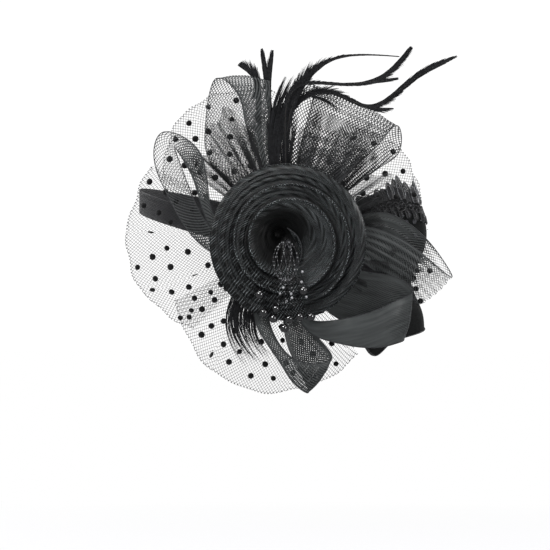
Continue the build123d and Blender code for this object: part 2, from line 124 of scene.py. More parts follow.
class Piece:
    """One object, built up from grids, tubes and balls, with UVs in millimetres of cloth."""

    def __init__(self, name, slot, *materials):
        self.name, self.slot, self.materials = name, slot, materials
        self.points, self.uvs, self.covers, self.faces, self.faces_material = [], [], [], [], []
        self.count = 0

    def grid(self, points, uv=None, material=0, cover=1.0, tone=1.0):
        """Quads from rows of points. Cover is how close their threads lie, and tone how light they are, which
        paints shade and highlights on the flower.
        """
        points = np.array(points, float)
        rows, columns = points.shape[:2]
        if uv is None:
            uv = np.stack(np.meshgrid(run_of(points[rows // 2]), run_of(points[:, 0])), -1)
        i, j = np.meshgrid(np.arange(rows - 1), np.arange(columns - 1), indexing="ij")
        first = self.count + i * columns + j
        quads = np.stack([first, first + 1, first + columns + 1, first + columns], -1)
        self.points.append(points.reshape(-1, 3))
        self.uvs.append(np.array(uv, float).reshape(-1, 2))
        weave = [np.broadcast_to(value, (rows, columns)) for value in (cover, tone)]
        self.covers.append(np.stack(weave, -1).reshape(-1, 2))
        self.faces.append(quads.reshape(-1, 4))
        self.faces_material.append(np.full(quads.size // 4, material))
        self.count += rows * columns

    def tube(self, path, radius, sides=6, material=0, tone=1.0):
        """A round tube along a path, closed at its ends. The radius may change along it."""
        path = np.array(path, float)
        r = np.broadcast_to(np.array(radius, float), (len(path),))
        along = unit(np.gradient(path, axis=0))
        side = np.zeros_like(path)
        guess = np.array([0.0, 0.0, 1.0]) if abs(along[0][2]) < 0.9 else np.array([1.0, 0.0, 0.0])
        for i, t in enumerate(along):
            guess = guess - t * guess.dot(t)
            guess = guess / max(np.linalg.norm(guess), 1e-9)
            side[i] = guess
        other = np.cross(along, side)
        a = np.linspace(0, 2 * pi, sides + 1)
        ring = side[:, None] * np.cos(a)[None, :, None] + other[:, None] * np.sin(a)[None, :, None]
        skin = path[:, None] + ring * r[:, None, None]
        ends = [np.repeat(path[:1, None], sides + 1, 1), skin, np.repeat(path[-1:, None], sides + 1, 1)]
        self.grid(np.concatenate(ends), material=material, tone=tone)

    def ball(self, centre, radius, segments=16, rings=10, material=0):
        """A sphere."""
        a = np.linspace(0, 2 * pi, segments + 1)[None, :]
        b = np.linspace(0, pi, rings + 1)[:, None]
        shell = np.stack([np.sin(b) * np.cos(a), np.sin(b) * np.sin(a), np.cos(b) * np.ones_like(a)], -1)
        self.grid(np.array(centre) + shell * radius, material=material)

    def pad(self, centre, normal, radius, height, sides=14, material=0):
        """A small raised disc that lies on a surface, such as a flocked dot or a sequin."""
        n = unit(np.array(normal, float))
        u = unit(np.cross(n, [0.3, 0.2, 0.93]))
        v = np.cross(n, u)
        a = np.linspace(0, 2 * pi, sides + 1)
        ring = u * np.cos(a)[:, None] + v * np.sin(a)[:, None]
        rows = [(0, -height), (radius, -height * 0.6), (radius, height * 0.6)]
        rows += [(radius * 0.7, height), (0, height * 1.15)]
        self.grid(np.array([np.array(centre) + ring * r + n * h for r, h in rows]), material=material)

    def finish(self, replaces=(), weld=True):
        """Makes the object, gives it its body, and hides the CAD nodes that it stands for."""
        mesh = bpy.data.meshes.new(self.name)
        points = np.concatenate(self.points) * MM
        faces = np.concatenate(self.faces)
        mesh.from_pydata(points.tolist(), [], faces.tolist())
        loops = np.empty(len(mesh.loops), int)
        mesh.loops.foreach_get("vertex_index", loops)
        for name, values in (("cloth_mm", self.uvs), ("cloth_cover", self.covers)):
            layer = mesh.uv_layers.new(name=name)
            layer.data.foreach_set("uv", np.concatenate(values)[loops].ravel())
        mesh.polygons.foreach_set("material_index", np.concatenate(self.faces_material))
        mesh.polygons.foreach_set("use_smooth", np.full(len(mesh.polygons), True))
        for m in self.materials:
            mesh.materials.append(m)
        if weld:
            work = bmesh.new()
            work.from_mesh(mesh)
            bmesh.ops.remove_doubles(work, verts=work.verts, dist=2e-6)
            work.to_mesh(mesh)
            work.free()
        piece = add_object(self.name, mesh)
        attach(piece, BODY)
        if replaces:
            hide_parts(*replaces)
        return piece


# --- materials ----------------------------------------------------------------


class Shader:
    """A material with a Principled shader, and short ways to add nodes to it."""

    def __init__(self, name, colour, **settings):
        self.material = bpy.data.materials.new(name)
        self.material.use_nodes = True
        self.tree = self.material.node_tree
        self.surface = self.tree.nodes["Principled BSDF"]
        self.set("Base Color", (*colour, 1))
        for key, value in settings.items():
            self.set(key.replace("_", " "), value)

    def feed(self, target, value):
        """Links a socket to an input, or sets the input's value."""
        if isinstance(value, bpy.types.NodeSocket):
            self.tree.links.new(value, target)
        else:
            target.default_value = value

    def set(self, socket, value):
        """Sets or links one of the surface's inputs."""
        self.feed({k.name.lower(): k for k in self.surface.inputs}[socket.lower()], value)

    def node(self, kind, inputs=(), **settings):
        """A new node with its settings, and its inputs by name or number."""
        made = self.tree.nodes.new(kind)
        for key, value in settings.items():
            setattr(made, key, value)
        for key, value in dict(inputs).items():
            self.feed(made.inputs[key], value)
        return made

    def math(self, operation, *values):
        """One step of arithmetic on sockets and numbers."""
        return self.node("ShaderNodeMath", dict(enumerate(values)), operation=operation).outputs[0]

    def plus(self, a, b):
        """The sum of two sockets or numbers."""
        return self.math("ADD", a, b)

    def times(self, a, b):
        """The product of two sockets or numbers."""
        return self.math("MULTIPLY", a, b)

    def layer(self, name):
        """The two numbers of a UV layer."""
        at = self.node("ShaderNodeUVMap", uv_map=name).outputs[0]
        return self.node("ShaderNodeSeparateXYZ", {0: at}).outputs[:2]

    def cloth(self):
        """The cloth's own millimetres: across, then along."""
        return self.layer("cloth_mm")

    def cover(self):
        """How close the threads lie, and how light they are: the second carries painted shade and painted
        highlights.
        """
        return self.layer("cloth_cover")

    def streaks(self, across, along):
        """Noise from 0 to 1, drawn out along the cloth."""
        at = self.node("ShaderNodeUVMap", uv_map="cloth_mm").outputs[0]
        at = self.node("ShaderNodeMapping", {0: at, "Scale": (across, along, 1)}).outputs[0]
        return self.node("ShaderNodeTexNoise", {"Vector": at, "Scale": 1.0, "Detail": 3.0}).outputs[0]

    def place(self):
        """A point's place in the row frame, in metres."""
        return self.node("ShaderNodeTexCoord").outputs["Object"]

    def noise(self, per_mm, detail=3.0, roughness=0.55, stretch=None):
        """Noise from 0 to 1, with about so many lumps to a millimetre."""
        at = self.place()
        if stretch:
            at = self.node("ShaderNodeMapping", {0: at, "Scale": stretch}).outputs[0]
        inputs = {"Vector": at, "Scale": per_mm / MM, "Detail": detail, "Roughness": roughness}
        return self.node("ShaderNodeTexNoise", inputs).outputs[0]

    def ramp(self, value, *stops):
        """A colour from a number, by stops of (position, colour)."""
        made = self.node("ShaderNodeValToRGB")
        while len(made.color_ramp.elements) < len(stops):
            made.color_ramp.elements.new(0.5)
        for element, (at, colour) in zip(made.color_ramp.elements, stops):
            element.position = at
            element.color = (*colour, 1)
        self.tree.links.new(value, made.inputs[0])
        return made.outputs[0]

    def bump(self, height, depth_mm, strength=1.0):
        """Relief from a height of 0 to 1."""
        inputs = {"Height": height, "Strength": strength, "Distance": depth_mm * MM}
        self.set("Normal", self.node("ShaderNodeBump", inputs).outputs[0])


def mesh_cloth(name, pitch, thread, dark, light, roughness=0.45, steep=0.5, streaky=0.0):
    """Open cloth of crossing threads. Thread is how much of the pitch each one covers."""
    s = Shader(name, dark, roughness=roughness, specular_ior_level=0.3)
    u, v = s.cloth()
    amount, tone = s.cover()
    flat = sqrt(1 - steep * steep)
    wide = s.times(u, flat / pitch)
    tall = s.times(v, steep / pitch)
    one = s.math("FRACT", s.plus(wide, tall))
    two = s.math("FRACT", s.math("SUBTRACT", wide, tall))
    cover = s.times(amount, thread)
    if streaky:
        drawn = s.math("POWER", s.times(s.streaks(0.22, 0.025), 2), 2.5 * streaky)
        cover = s.times(cover, drawn)
    first = s.math("LESS_THAN", one, cover)
    second = s.math("LESS_THAN", two, cover)
    s.set("Alpha", s.math("MAXIMUM", first, second))
    # Threads of the first direction are painted lighter than the second: a painted sheen on the threads that
    # lie on top.
    side = s.plus(s.times(first, 0.6), 0.25)
    shade = s.times(side, s.plus(s.streaks(0.5, 0.04), 0.3))
    s.set("Base Color", s.ramp(s.times(shade, tone), (0.1, dark), (1.0, light)))
    s.bump(first, 0.12, 0.6)
    return s.material


def braid_cloth(name, dark, light, band=3.1, pitch=1.8):
    """Close plaited crinoline: slanting threads that turn back at each band, with a hard sheen; the bright
    thread crossings are painted glints.
    """
    s = Shader(name, dark, roughness=0.4, specular_ior_level=0.3)
    u, v = s.cloth()
    tone = s.cover()[1]
    turn = s.math("PINGPONG", v, band)
    one = s.math("PINGPONG", s.times(s.plus(u, turn), 1 / pitch), 0.5)
    slant = s.math("SUBTRACT", u, s.times(v, 0.9))
    two = s.math("PINGPONG", s.times(slant, 0.8 / pitch), 0.5)
    ridge = s.math("POWER", s.times(one, 2), 5.0)
    # Bright specks where the thread ridges cross are painted glints in the light colour; noise makes them
    # stronger in some patches than others.
    painted_glints = s.times(ridge, s.plus(s.times(two, 1.7), 0.05))
    glint_patches = s.plus(s.times(s.noise(0.12), 1.4), 0.1)
    patch = s.times(s.times(painted_glints, tone), glint_patches)
    s.set("Base Color", s.ramp(patch, (0.05, dark), (0.9, light)))
    s.bump(s.plus(one, two), 0.3, 0.8)
    return s.material


def soft_cloth(name, dark, light, grain=2.0, depth=0.15, roughness=0.9, sheen=0.15):
    """Felt, flock or short pile."""
    s = Shader(name, dark, roughness=roughness, specular_ior_level=0.15)
    s.set("Sheen Weight", sheen)
    s.set("Sheen Roughness", 0.5)
    grains = s.noise(grain, 4.0, 0.7)
    s.set("Base Color", s.ramp(grains, (0.3, dark), (0.75, light)))
    s.bump(grains, depth)
    return s.material


def plain_weave(name, dark, light, pitch=0.5, roughness=0.6, sheen=0.0):
    """A fine woven cloth, with threads over and under."""
    s = Shader(name, dark, roughness=roughness, specular_ior_level=0.3, sheen_weight=sheen)
    u, v = s.cloth()
    over = s.math("PINGPONG", s.times(u, 1 / pitch), 0.5)
    under = s.math("PINGPONG", s.times(v, 1 / pitch), 0.5)
    height = s.plus(over, under)
    tone = s.times(height, s.plus(s.noise(0.2), 0.5))
    s.set("Base Color", s.ramp(tone, (0.1, dark), (1.0, light)))
    s.bump(height, 0.15, 0.7)
    return s.material


def feather_web():
    """Barbs: nearly black, with a faint cool gloss."""
    s = Shader("feather_barbs", (0.006, 0.006, 0.008), roughness=0.5, specular_ior_level=0.35)
    streak = s.noise(0.9, 2.0)
    s.set("Base Color", s.ramp(streak, (0.35, (0.004, 0.004, 0.005)), (0.8, (0.022, 0.023, 0.027))))
    s.bump(streak, 0.1)
    return s.material


def thread(name, dark, light, roughness=0.5, metal=0.0):
    """Twisted thread, cord or covered wire."""
    s = Shader(name, dark, roughness=roughness, metallic=metal, specular_ior_level=0.4)
    u, v = s.cloth()
    twist = s.math("PINGPONG", s.plus(s.times(v, 1.2), u), 0.5)
    s.set("Base Color", s.ramp(s.times(twist, 2), (0.1, dark), (0.9, light)))
    s.bump(twist, 0.12)
    return s.material


def glossy(name, colour, light, roughness=0.08, grain=0.3, ior=1.5):
    """Polished beads and sequins, with faint mottling."""
    s = Shader(name, colour, roughness=roughness, ior=ior, specular_ior_level=1.0)
    s.set("Coat Weight", 1.0)
    s.set("Coat Roughness", 0.05)
    mottle = s.noise(grain, 2.0)
    s.set("Base Color", s.ramp(mottle, (0.3, colour), (0.8, light)))
    s.set("Roughness", s.plus(s.times(mottle, 0.08), roughness))
    return s.material


def brushed_metal():
    """Nickel-plated steel with a fine grain along the clip."""
    s = Shader("clip_steel", (0.42, 0.42, 0.43), metallic=1.0, roughness=0.32)
    grain = s.noise(0.25, 3.0, 0.6, (1, 12, 12))
    s.set("Base Color", s.ramp(grain, (0.3, (0.30, 0.30, 0.31)), (0.75, (0.55, 0.55, 0.56))))
    s.set("Roughness", s.plus(s.times(grain, 0.25), 0.2))
    s.bump(grain, 0.02, 0.5)
    return s.material


BLACK = (0.0035, 0.0036, 0.004)
CHARCOAL = (0.0055, 0.0058, 0.0065)

net_cloth = mesh_cloth("dotted_net", 1.6, 0.12, (0.006, 0.006, 0.007), (0.04, 0.04, 0.044), steep=0.65)
loop_cloth = mesh_cloth("loop_crin", 1.3, 0.23, CHARCOAL, (0.078, 0.085, 0.085), steep=0.6, roughness=0.4)
light_loop_cloth = mesh_cloth("light_loop_crin", 1.5, 0.20, CHARCOAL, (0.105, 0.113, 0.114), steep=0.65)
sheer_cloth = mesh_cloth("sheer_ribbon", 1.6, 0.19, BLACK, (0.055, 0.057, 0.06), steep=0.65, streaky=0.35)
crumpled_cloth = mesh_cloth("crumpled_crin", 0.9, 0.42, BLACK, (0.035, 0.036, 0.038), steep=0.8, streaky=1.0)
# The braid's pale second colour is the colour of its painted glints, not of its black threads.
flower_cloth = braid_cloth("flower_braid", (0.0024, 0.0026, 0.0027), (0.40, 0.445, 0.46))
hem_cloth = thread("hem_thread", CHARCOAL, (0.06, 0.062, 0.067))
flock = soft_cloth("dot_flock", (0.002, 0.002, 0.002), (0.008, 0.008, 0.009), grain=3.0)
felt = soft_cloth("base_felt", (0.006, 0.006, 0.007), (0.022, 0.022, 0.024), grain=1.6, depth=0.3, sheen=0.05)
velvet = soft_cloth("mask_velvet", (0.0035, 0.0037, 0.0038), (0.014, 0.015, 0.015), grain=2.4, sheen=0.04)
satin = plain_weave("mask_satin", (0.008, 0.008, 0.009), (0.035, 0.035, 0.038), pitch=0.45, roughness=0.38)
buckram = plain_weave("buckram", (0.008, 0.008, 0.009), (0.05, 0.05, 0.055), pitch=1.4)
elastic_cloth = plain_weave("band_elastic", (0.006, 0.006, 0.007), (0.042, 0.043, 0.046), pitch=0.8)
barbs = feather_web()
quill = thread("feather_quill", (0.006, 0.006, 0.006), (0.030, 0.029, 0.028), roughness=0.35)
stem_wire = thread("stem_wire", (0.006, 0.006, 0.007), (0.05, 0.05, 0.055), roughness=0.3)
pod_wire = thread("pod_wire", (0.008, 0.008, 0.009), (0.07, 0.07, 0.075), roughness=0.35, metal=0.3)
silver_thread = thread("silver_thread", (0.10, 0.10, 0.11), (0.50, 0.51, 0.53), roughness=0.35, metal=0.7)
lace_cord = thread("lace_cord", (0.005, 0.005, 0.006), (0.045, 0.046, 0.05), roughness=0.45)
jet = glossy("jet_beads", (0.002, 0.002, 0.0022), (0.005, 0.005, 0.0055), roughness=0.04, ior=1.7)
seed_glass = glossy("seed_glass", (0.05, 0.05, 0.055), (0.55, 0.56, 0.58), roughness=0.10, grain=0.6)
sequin = glossy("sequins", (0.008, 0.008, 0.010), (0.12, 0.125, 0.14), roughness=0.16, grain=0.4)
lace_ground = mesh_cloth("lace_ground", 0.9, 0.5, BLACK, (0.045, 0.046, 0.05), steep=0.7)
steel = brushed_metal()


# --- felt, gathers and backing --------------------------------------------------


def lathe(piece, profile, turns=96, material=0, wobble=0.0, tone=1.0):
    """A turned surface about Y, from (radius, y) points, in a piece."""
    a = np.linspace(0, 2 * pi, turns + 1)
    r = np.array([p[0] for p in profile])[:, None] * (1 + wobble * np.sin(5 * a) * np.cos(3 * a))[None, :]
    points = about_y(r, np.array([p[1] for p in profile])[:, None], a)
    run = np.cumsum(np.r_[0, np.hypot(*np.diff(np.array(profile, float), axis=0).T)])
    uv = np.stack([r * a, np.repeat(run[:, None], turns + 1, 1)], -1)
    piece.grid(points, uv, material, tone=tone)


def stitches(piece, radius, y, count, length, material, lift=0.35):
    """A ring of short straight stitches that lie on a flat face."""
    for i in range(count):
        a = 2 * pi * i / count
        half = 0.5 * length / radius
        ring = [(radius * cos(a + half * k), radius * sin(a + half * k)) for k in (-1, -0.5, 0, 0.5, 1)]
        sink = (0.3, -lift * 0.7, -lift, -lift * 0.7, 0.3)
        piece.tube([(x, y + d, z) for (x, z), d in zip(ring, sink)], 0.22, 5, material)


def felt_base():
    """Felt disc with soft edges, oversewn round its rim."""
    low, high = (c / MM for c in (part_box("felt_base")[0][1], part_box("felt_base")[1][1]))
    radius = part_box("felt_base")[1][0] / MM
    piece = Piece("felt_base_sewn", "felt", felt, hem_cloth)
    lathe(
        piece,
        [(0, high), (10, high), (radius - 0.8, high), (radius - 0.2, high - 0.4), (radius, high - 1.2)]
        + [(radius - 0.2, low + 0.4), (radius - 0.8, low), (10, low), (0, low)],
        wobble=0.004,
    )
    stitch_count, lean = 72, 0.012
    rim = [(radius - 2.2, high + 0.1), (radius - 0.2, high + 0.1)]
    rim += [(radius + 0.15, high - 1.2), (radius - 0.2, low)]
    for i in range(stitch_count):
        a = 2 * pi * i / stitch_count
        path = [(r * cos(a + lean * k), y, r * sin(a + lean * k)) for k, (r, y) in enumerate(rim)]
        piece.tube(path, 0.2, 5, 1)
    return piece.finish(["felt_base"])


def gathered_ends():
    """The stitched, pleated bundle of ribbon and net ends between the felt and the flower."""
    low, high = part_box("gathered_ribbon_ends")
    radius, front, back = high[0] / MM, low[1] / MM, high[1] / MM
    piece = Piece("gathered_ends_pleated", "gathered_crin", loop_cloth, felt, hem_cloth)
    a = np.linspace(0, 2 * pi, 721)
    rows = 12
    points, uv = [], []
    for j in range(rows):
        t = j / (rows - 1)
        waist = 1 - 0.05 * sin(pi * t)
        r = radius * waist * (1 - 0.045 * np.abs(np.sin(34 * a + 1.5 * t)) - 0.02 * np.sin(11 * a + 4 * t))
        points.append(about_y(r, back + (front - back) * t, a))
        uv.append(np.stack([a * radius * 1.6, np.full_like(a, 12 * t)], -1))
    piece.grid(points, uv, 1)
    b = a[::6]
    for y in (back - 2.5, back - 6.0, front + 2.0):
        piece.tube(about_y(radius * 0.985, y + 0.35 * np.sin(9 * b), b), 0.3, 5, 2)
    return piece.finish(["gathered_ribbon_ends"])


def backing_disc():
    """Buckram disc behind the flower, with its ring of stitches."""
    low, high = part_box("flower_backing_disc")
    radius, front, back = high[0] / MM, low[1] / MM, high[1] / MM
    piece = Piece("flower_backing_sewn", "buckram", buckram, hem_cloth)
    profile = [(0, back), (radius - 0.3, back), (radius, back - 0.4)]
    lathe(piece, profile + [(radius, front + 0.4), (radius - 0.3, front), (0, front)])
    stitches(piece, radius - 2.2, back, 40, 2.6, 1, lift=-0.3)
    return piece.finish(["flower_backing_disc"])


# --- the wound flower -----------------------------------------------------------

RIM = 50.0
THROAT = 2.5
THROAT_Y = -15.8
FIRST_CREST = 22.0
SPIRAL_STEP = 9.6
RIDGE_PITCH = 3.3
RIDGES_END = 44.6
LAST_FOOT = 45.5
BRIM = 46.2
BRIM_Y = -23.8
LAST_CREST = 47.0


def crest_height(turns):
    """How far forward the braid's rolled edge stands after so many turns."""
    after = [0, 0.2, 0.5, 1.0, 1.5, 2.0, 3.0]
    return np.interp(turns, after, [-32.0, -34.0, -34.2, -31.5, -28.5, -25.6, -24.0])


def flower_depth(r, t):
    """The flower's front surface at a radius, after t of one turn from where the braid starts."""
    crest_0 = FIRST_CREST + SPIRAL_STEP * t

    def winding(first):
        """The stack of turns outward from a first crest."""
        rim_r = FIRST_CREST + SPIRAL_STEP * (t + first)
        rim_y = float(crest_height(t + first))
        s = np.clip((r - THROAT) / (rim_r - THROAT), 0, 1)
        depth = np.where(r <= rim_r, THROAT_Y + (rim_y - THROAT_Y) * s**0.6, THROAT_Y)
        for k in range(first, 4):
            foot_r = FIRST_CREST + SPIRAL_STEP * (t + k)
            next_r = min(foot_r + SPIRAL_STEP, LAST_CREST)
            if foot_r >= LAST_FOOT:
                break
            drop = 5.0 - 1.2 * k
            foot_y = float(crest_height(t + k)) + drop
            next_y = float(crest_height(t + k + 1)) if foot_r + SPIRAL_STEP < 46 else BRIM_Y
            s = np.clip((r - foot_r) / (next_r - foot_r), 0, 1)
            fall = np.exp(-(((r - foot_r) / 0.9) ** 2))
            band = foot_y + (next_y - foot_y) * s**0.75
            band = band * (1 - fall) + float(crest_height(t + k)) * fall
            depth = np.where((r > foot_r) & (r <= next_r), band, depth)
        edge = BRIM_Y + 3.8 * np.clip((r - BRIM) / (RIM - BRIM), 0, 1) ** 2.2
        return np.where(r > BRIM, edge, depth)

    start = float(smooth_step(t / 0.16))
    y = winding(1)
    if start > 0 or t == 0:
        y = start * winding(0) + (1 - start) * winding(1)
    ridge = (RIDGES_END - r) / RIDGE_PITCH - t
    inside = smooth_step((r - crest_0 - 2.4) / 1.5) * smooth_step((RIDGES_END - r) / 0.8)
    return y - 1.15 * inside * np.abs(np.sin(pi * ridge)) ** 0.8 + 0.5 * inside


def braid_bearing(turns):
    """Where round the flower the braid is after so many turns."""
    return -pi / 2 - 2 * pi * turns + 0.25


def flower():
    """Crinoline braid wound outwards in one spiral, its edges rolled and its folds pleated."""
    piece = Piece("flower_wound_braid", "flower_crin", flower_cloth, hem_cloth)
    turns = 480
    t = np.linspace(0, 1, turns + 1)
    r = np.r_[0.0, np.linspace(THROAT, FIRST_CREST, 30)[:-1], np.linspace(FIRST_CREST, RIM, 150)]
    rows = []
    for part in t:
        depth = flower_depth(r, float(part))
        bearing = braid_bearing(part)
        wander = 1 + 0.006 * np.sin(3 * bearing + 0.5) * smooth_step((r - 40) / 10)
        off_centre = 1 - smooth_step((r - THROAT) / (FIRST_CREST - THROAT))
        x = r * wander * np.cos(bearing) - 5.5 * off_centre
        z = r * wander * np.sin(bearing) + 5.0 * off_centre
        rows.append(np.stack([x, depth, z], -1))
    rows[-1] = rows[0].copy()
    uv = np.stack([np.outer(t, r) * 2 * pi, np.outer(np.ones_like(t), r)], -1)
    bearing = braid_bearing(t[:, None])
    # Tone paints light and shade into the braid. Shadow and lit make a painted shadow down the throat that
    # reaches further out on one side than the other; under is painted shade in the groove just outside each
    # rolled edge; the last factor is a painted highlight on the band just inside each crest.
    shadow = 8 + 12 * (0.5 + 0.5 * np.cos(bearing - radians(150)))
    lit = 0.04 + 0.96 * smooth_step((r[None, :] - shadow) / 9)
    past = r[None, :] - FIRST_CREST - SPIRAL_STEP * t[:, None]
    under = 1 - 0.75 * np.exp(-(((past - 1.8) / 1.2) ** 2)) - 0.5 * np.exp(-(((past - 10.6) / 1.0) ** 2))
    piece.grid(rows, uv, tone=lit * under * (1 + 0.5 * np.exp(-(((past + 3.5) / 3.0) ** 2))))
    back = [(RIM, -20)]
    for s in np.linspace(0, 1, 60):
        back.append((RIM - 0.3 - 19.7 * s, -19.6 + 4.2 * s**0.8 + 0.5 * abs(sin(6 * pi * s))))
    lathe(piece, back, 180)
    piece.tube(about_y(RIM - 0.1, -20.2, np.linspace(0, 2 * pi, 181)), 0.45, 6)
    wound = np.linspace(0.14, 1.95, 420)
    crest = FIRST_CREST + SPIRAL_STEP * wound
    lip = about_y(crest, crest_height(wound) - 0.1, braid_bearing(wound))
    # Tone 1.8 paints the rolled lip lighter: a painted highlight along the braid's edge.
    piece.tube(lip, 0.7, 8, tone=1.8)
    return piece.finish(["flower_outer_coil", "flower_inner_coil"])


def centre_roll():
    """The braid's first end, curled up in the throat as a thin crescent."""
    piece = Piece("flower_centre_curl", "flower_crin", flower_cloth, hem_cloth)
    outer = [(-0.5, -22, 9.0), (5.1, -26, 4.6), (8.6, -27.6, -3.0), (8.2, -27.6, -10.4), (4.6, -26, -17.2)]
    inner = [(-0.5, -19, 8.6), (3.0, -20, 2.4), (5.0, -20.5, -4.0), (5.2, -21, -10.4), (4.2, -22, -17.0)]
    outer, inner = spline(outer, 70), spline(inner, 70)
    rows = []
    for w in np.linspace(0, 1, 9):
        middle = outer * (1 - w) + inner * w
        rows.append(middle - np.array([0, 1, 0]) * 1.3 * sin(pi * w))
    # Tone 1.15 paints the crescent lighter: a painted highlight where it faces the light.
    piece.grid(np.array(rows).transpose(1, 0, 2), tone=1.15)
    piece.tube(outer, 0.38, 6, 1)
    return piece.finish(["flower_centre_roll"])


# --- beaded stamens ---------------------------------------------------------------


def mesh_pod():
    """Pod of wire and seed beads in diamonds, with a fringe of beaded threads below it."""
    piece = Piece("stamen_lattice_pod", "bead_lattice", pod_wire, seed_glass, stem_wire)
    centre = np.array([-1.5, -39.4, -12.5])
    size = np.array([8.0, 2.2, 13.0])
    tilt = radians(-12)

    def on_pod(a, b):
        """A point of the pod: a goes round it, b down it."""
        p = np.array([sin(b) * cos(a), sin(b) * sin(a), cos(b)]) * size
        y, z = p[1] * cos(tilt) - p[2] * sin(tilt), p[1] * sin(tilt) + p[2] * cos(tilt)
        return centre + np.array([p[0], y, z])

    count, levels = 9, 7
    for i in range(count):
        for hand in (-1, 1):
            line = []
            for j in range(levels * 4 + 1):
                b = 0.12 + (pi - 0.24) * j / (levels * 4)
                a = 2 * pi * (i + hand * j / (levels * 4) * 1.5) / count
                line.append(on_pod(a, b) + rng.normal(0, 0.06, 3))
            piece.tube(line, 0.09, 5, 0)
            for j in range(2, levels * 4, 2):
                if rng.random() < 0.5:
                    piece.ball(line[j], 0.28 + 0.12 * rng.random(), 8, 6, 1)
    neck = spline([(0, -26.7, 0.6), (-0.4, -33, 0.4), (-1.2, -37.0, -2)], 16)
    piece.tube(neck, 0.8, 8, 2)
    for i in range(6):
        x = -8.0 + 3.0 * i
        drop = 18 + 5 * rng.random()
        start = on_pod(-pi / 2 + (i - 2.5) * 0.25, pi - 0.55)
        end = np.array([x * 0.9 + 1.0, -37.2 if drop < 20 else -33.0, start[2] - drop])
        mid = (start + end) / 2 + np.array([rng.normal(0, 1.2), -1.2, 0])
        strand = spline([start, mid, end], 24)
        strand[:, 1] = np.minimum(strand[:, 1], -35.2 + 0.32 * np.maximum(0, -strand[:, 2] - 26))
        piece.tube(strand, 0.08, 5, 0)
        for j in range(1, 22, 3):
            piece.ball(strand[j], 0.26 + 0.12 * rng.random(), 8, 6, 1 if rng.random() < 0.55 else 2)
    return piece.finish(["stamen_mesh_pod"])


def bead_caps():
    """The little collar at the top of each round bead."""
    piece = Piece("stamen_bead_caps", "stem_wire", stem_wire)
    for low, high in islands("stamen_beads"):
        centre = (low + high) / 2 / MM
        top = high[2] / MM
        lathe_at(piece, (centre[0], centre[1], top), [(0.75, -0.2), (0.7, 0.05), (0.35, 0.3), (0.28, 0.7)])
    return piece.finish()


def islands(node):
    """The box of each separate solid in a CAD node, in metres."""
    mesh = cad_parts[node].data
    parent = list(range(len(mesh.vertices)))

    def root(i):
        while parent[i] != i:
            parent[i] = parent[parent[i]]
            i = parent[i]
        return i

    keys = {}
    for v in mesh.vertices:
        key = tuple(round(c, 6) for c in v.co)
        parent[root(v.index)] = root(keys.setdefault(key, v.index))
    for e in mesh.edges:
        parent[root(e.vertices[0])] = root(e.vertices[1])
    groups = {}
    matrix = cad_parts[node].matrix_world
    for v in mesh.vertices:
        groups.setdefault(root(v.index), []).append(np.array(matrix @ v.co))
    return [(np.min(g, axis=0), np.max(g, axis=0)) for g in groups.values()]


def lathe_at(piece, centre, profile):
    """A small turned shape about an upright axis."""
    a = np.linspace(0, 2 * pi, 15)
    rows = [
        np.stack([centre[0] + r * np.cos(a), centre[1] + r * np.sin(a), np.full_like(a, centre[2] + h)], -1)
        for r, h in profile
    ]
    piece.grid(rows)


# --- ribbon loops -------------------------------------------------------------------


def ribbon_loop(
    name, node, slot, cloth, cover, edge_1, edge_2, crown=2.0, crumple=0.8, pleats=0, dots=(), seed=1
):
    """A ribbon between two edge lines, crowned across its width, with a corded hem along both edges. Cover is
    how close its weave looks, as (part of the way along, cover) pairs: it is doubled or gathered in places.
    Dots are the flocked ones, as (part of the way along, part of the way across) pairs."""
    knots = (knots_of(edge_1) + knots_of(edge_2)) / 2
    rows, columns = 150, 21
    first, second = spline(edge_1, rows, knots), spline(edge_2, rows, knots)
    along = unit(np.gradient((first + second) / 2, axis=0))
    normal = unit(np.cross(along, second - first))
    length = run_of((first + second) / 2)
    width = np.linalg.norm(second - first, axis=1)
    s = np.linspace(0, 1, rows)
    free = smooth_step(s / 0.12) * smooth_step((1 - s) / 0.12)
    grid, uv = [], []
    for j in range(columns):
        w = j / (columns - 1)
        line = first * (1 - w) + second * w
        lift = crown * sin(pi * w) * free
        if pleats:
            lift = lift + 0.55 * np.sin(2 * pi * pleats * w) * (0.4 + 0.6 * free)
        grid.append(line + normal * lift[:, None])
        uv.append(np.stack([width * w, length], -1))
    grid = np.array(grid).transpose(1, 0, 2)
    uv = np.array(uv).transpose(1, 0, 2)
    wave = ruffle(grid, 0.055, crumple, seed) + ruffle(grid, 0.16, crumple * 0.35, seed + 5)
    grid = grid + normal[:, None] * (wave * free[:, None])[..., None]
    cloths = (cloth, hem_cloth, flock) if dots else (cloth, hem_cloth)
    piece = Piece(name, slot, *cloths)
    over = np.interp(s, *zip(*cover))[:, None]
    w = np.linspace(0, 1, columns)[None, :]
    selvage = 1 + 0.9 * (np.exp(-w * 14) + np.exp(-(1 - w) * 14))
    ridge = 1.0 + (0.45 * np.cos(2 * pi * pleats * w) if pleats else 0.0)
    piece.grid(grid, uv, cover=over * selvage * ridge)
    piece.tube(grid[:, 0], 0.28, 6, 1)
    piece.tube(grid[:, -1], 0.28, 6, 1)
    for part_along, part_across in dots:
        row, column = round(part_along * (rows - 1)), round(part_across * (columns - 1))
        piece.pad(grid[row, column], normal[row], 1.9, 0.3, material=2)
    made = piece.finish([node])
    return made


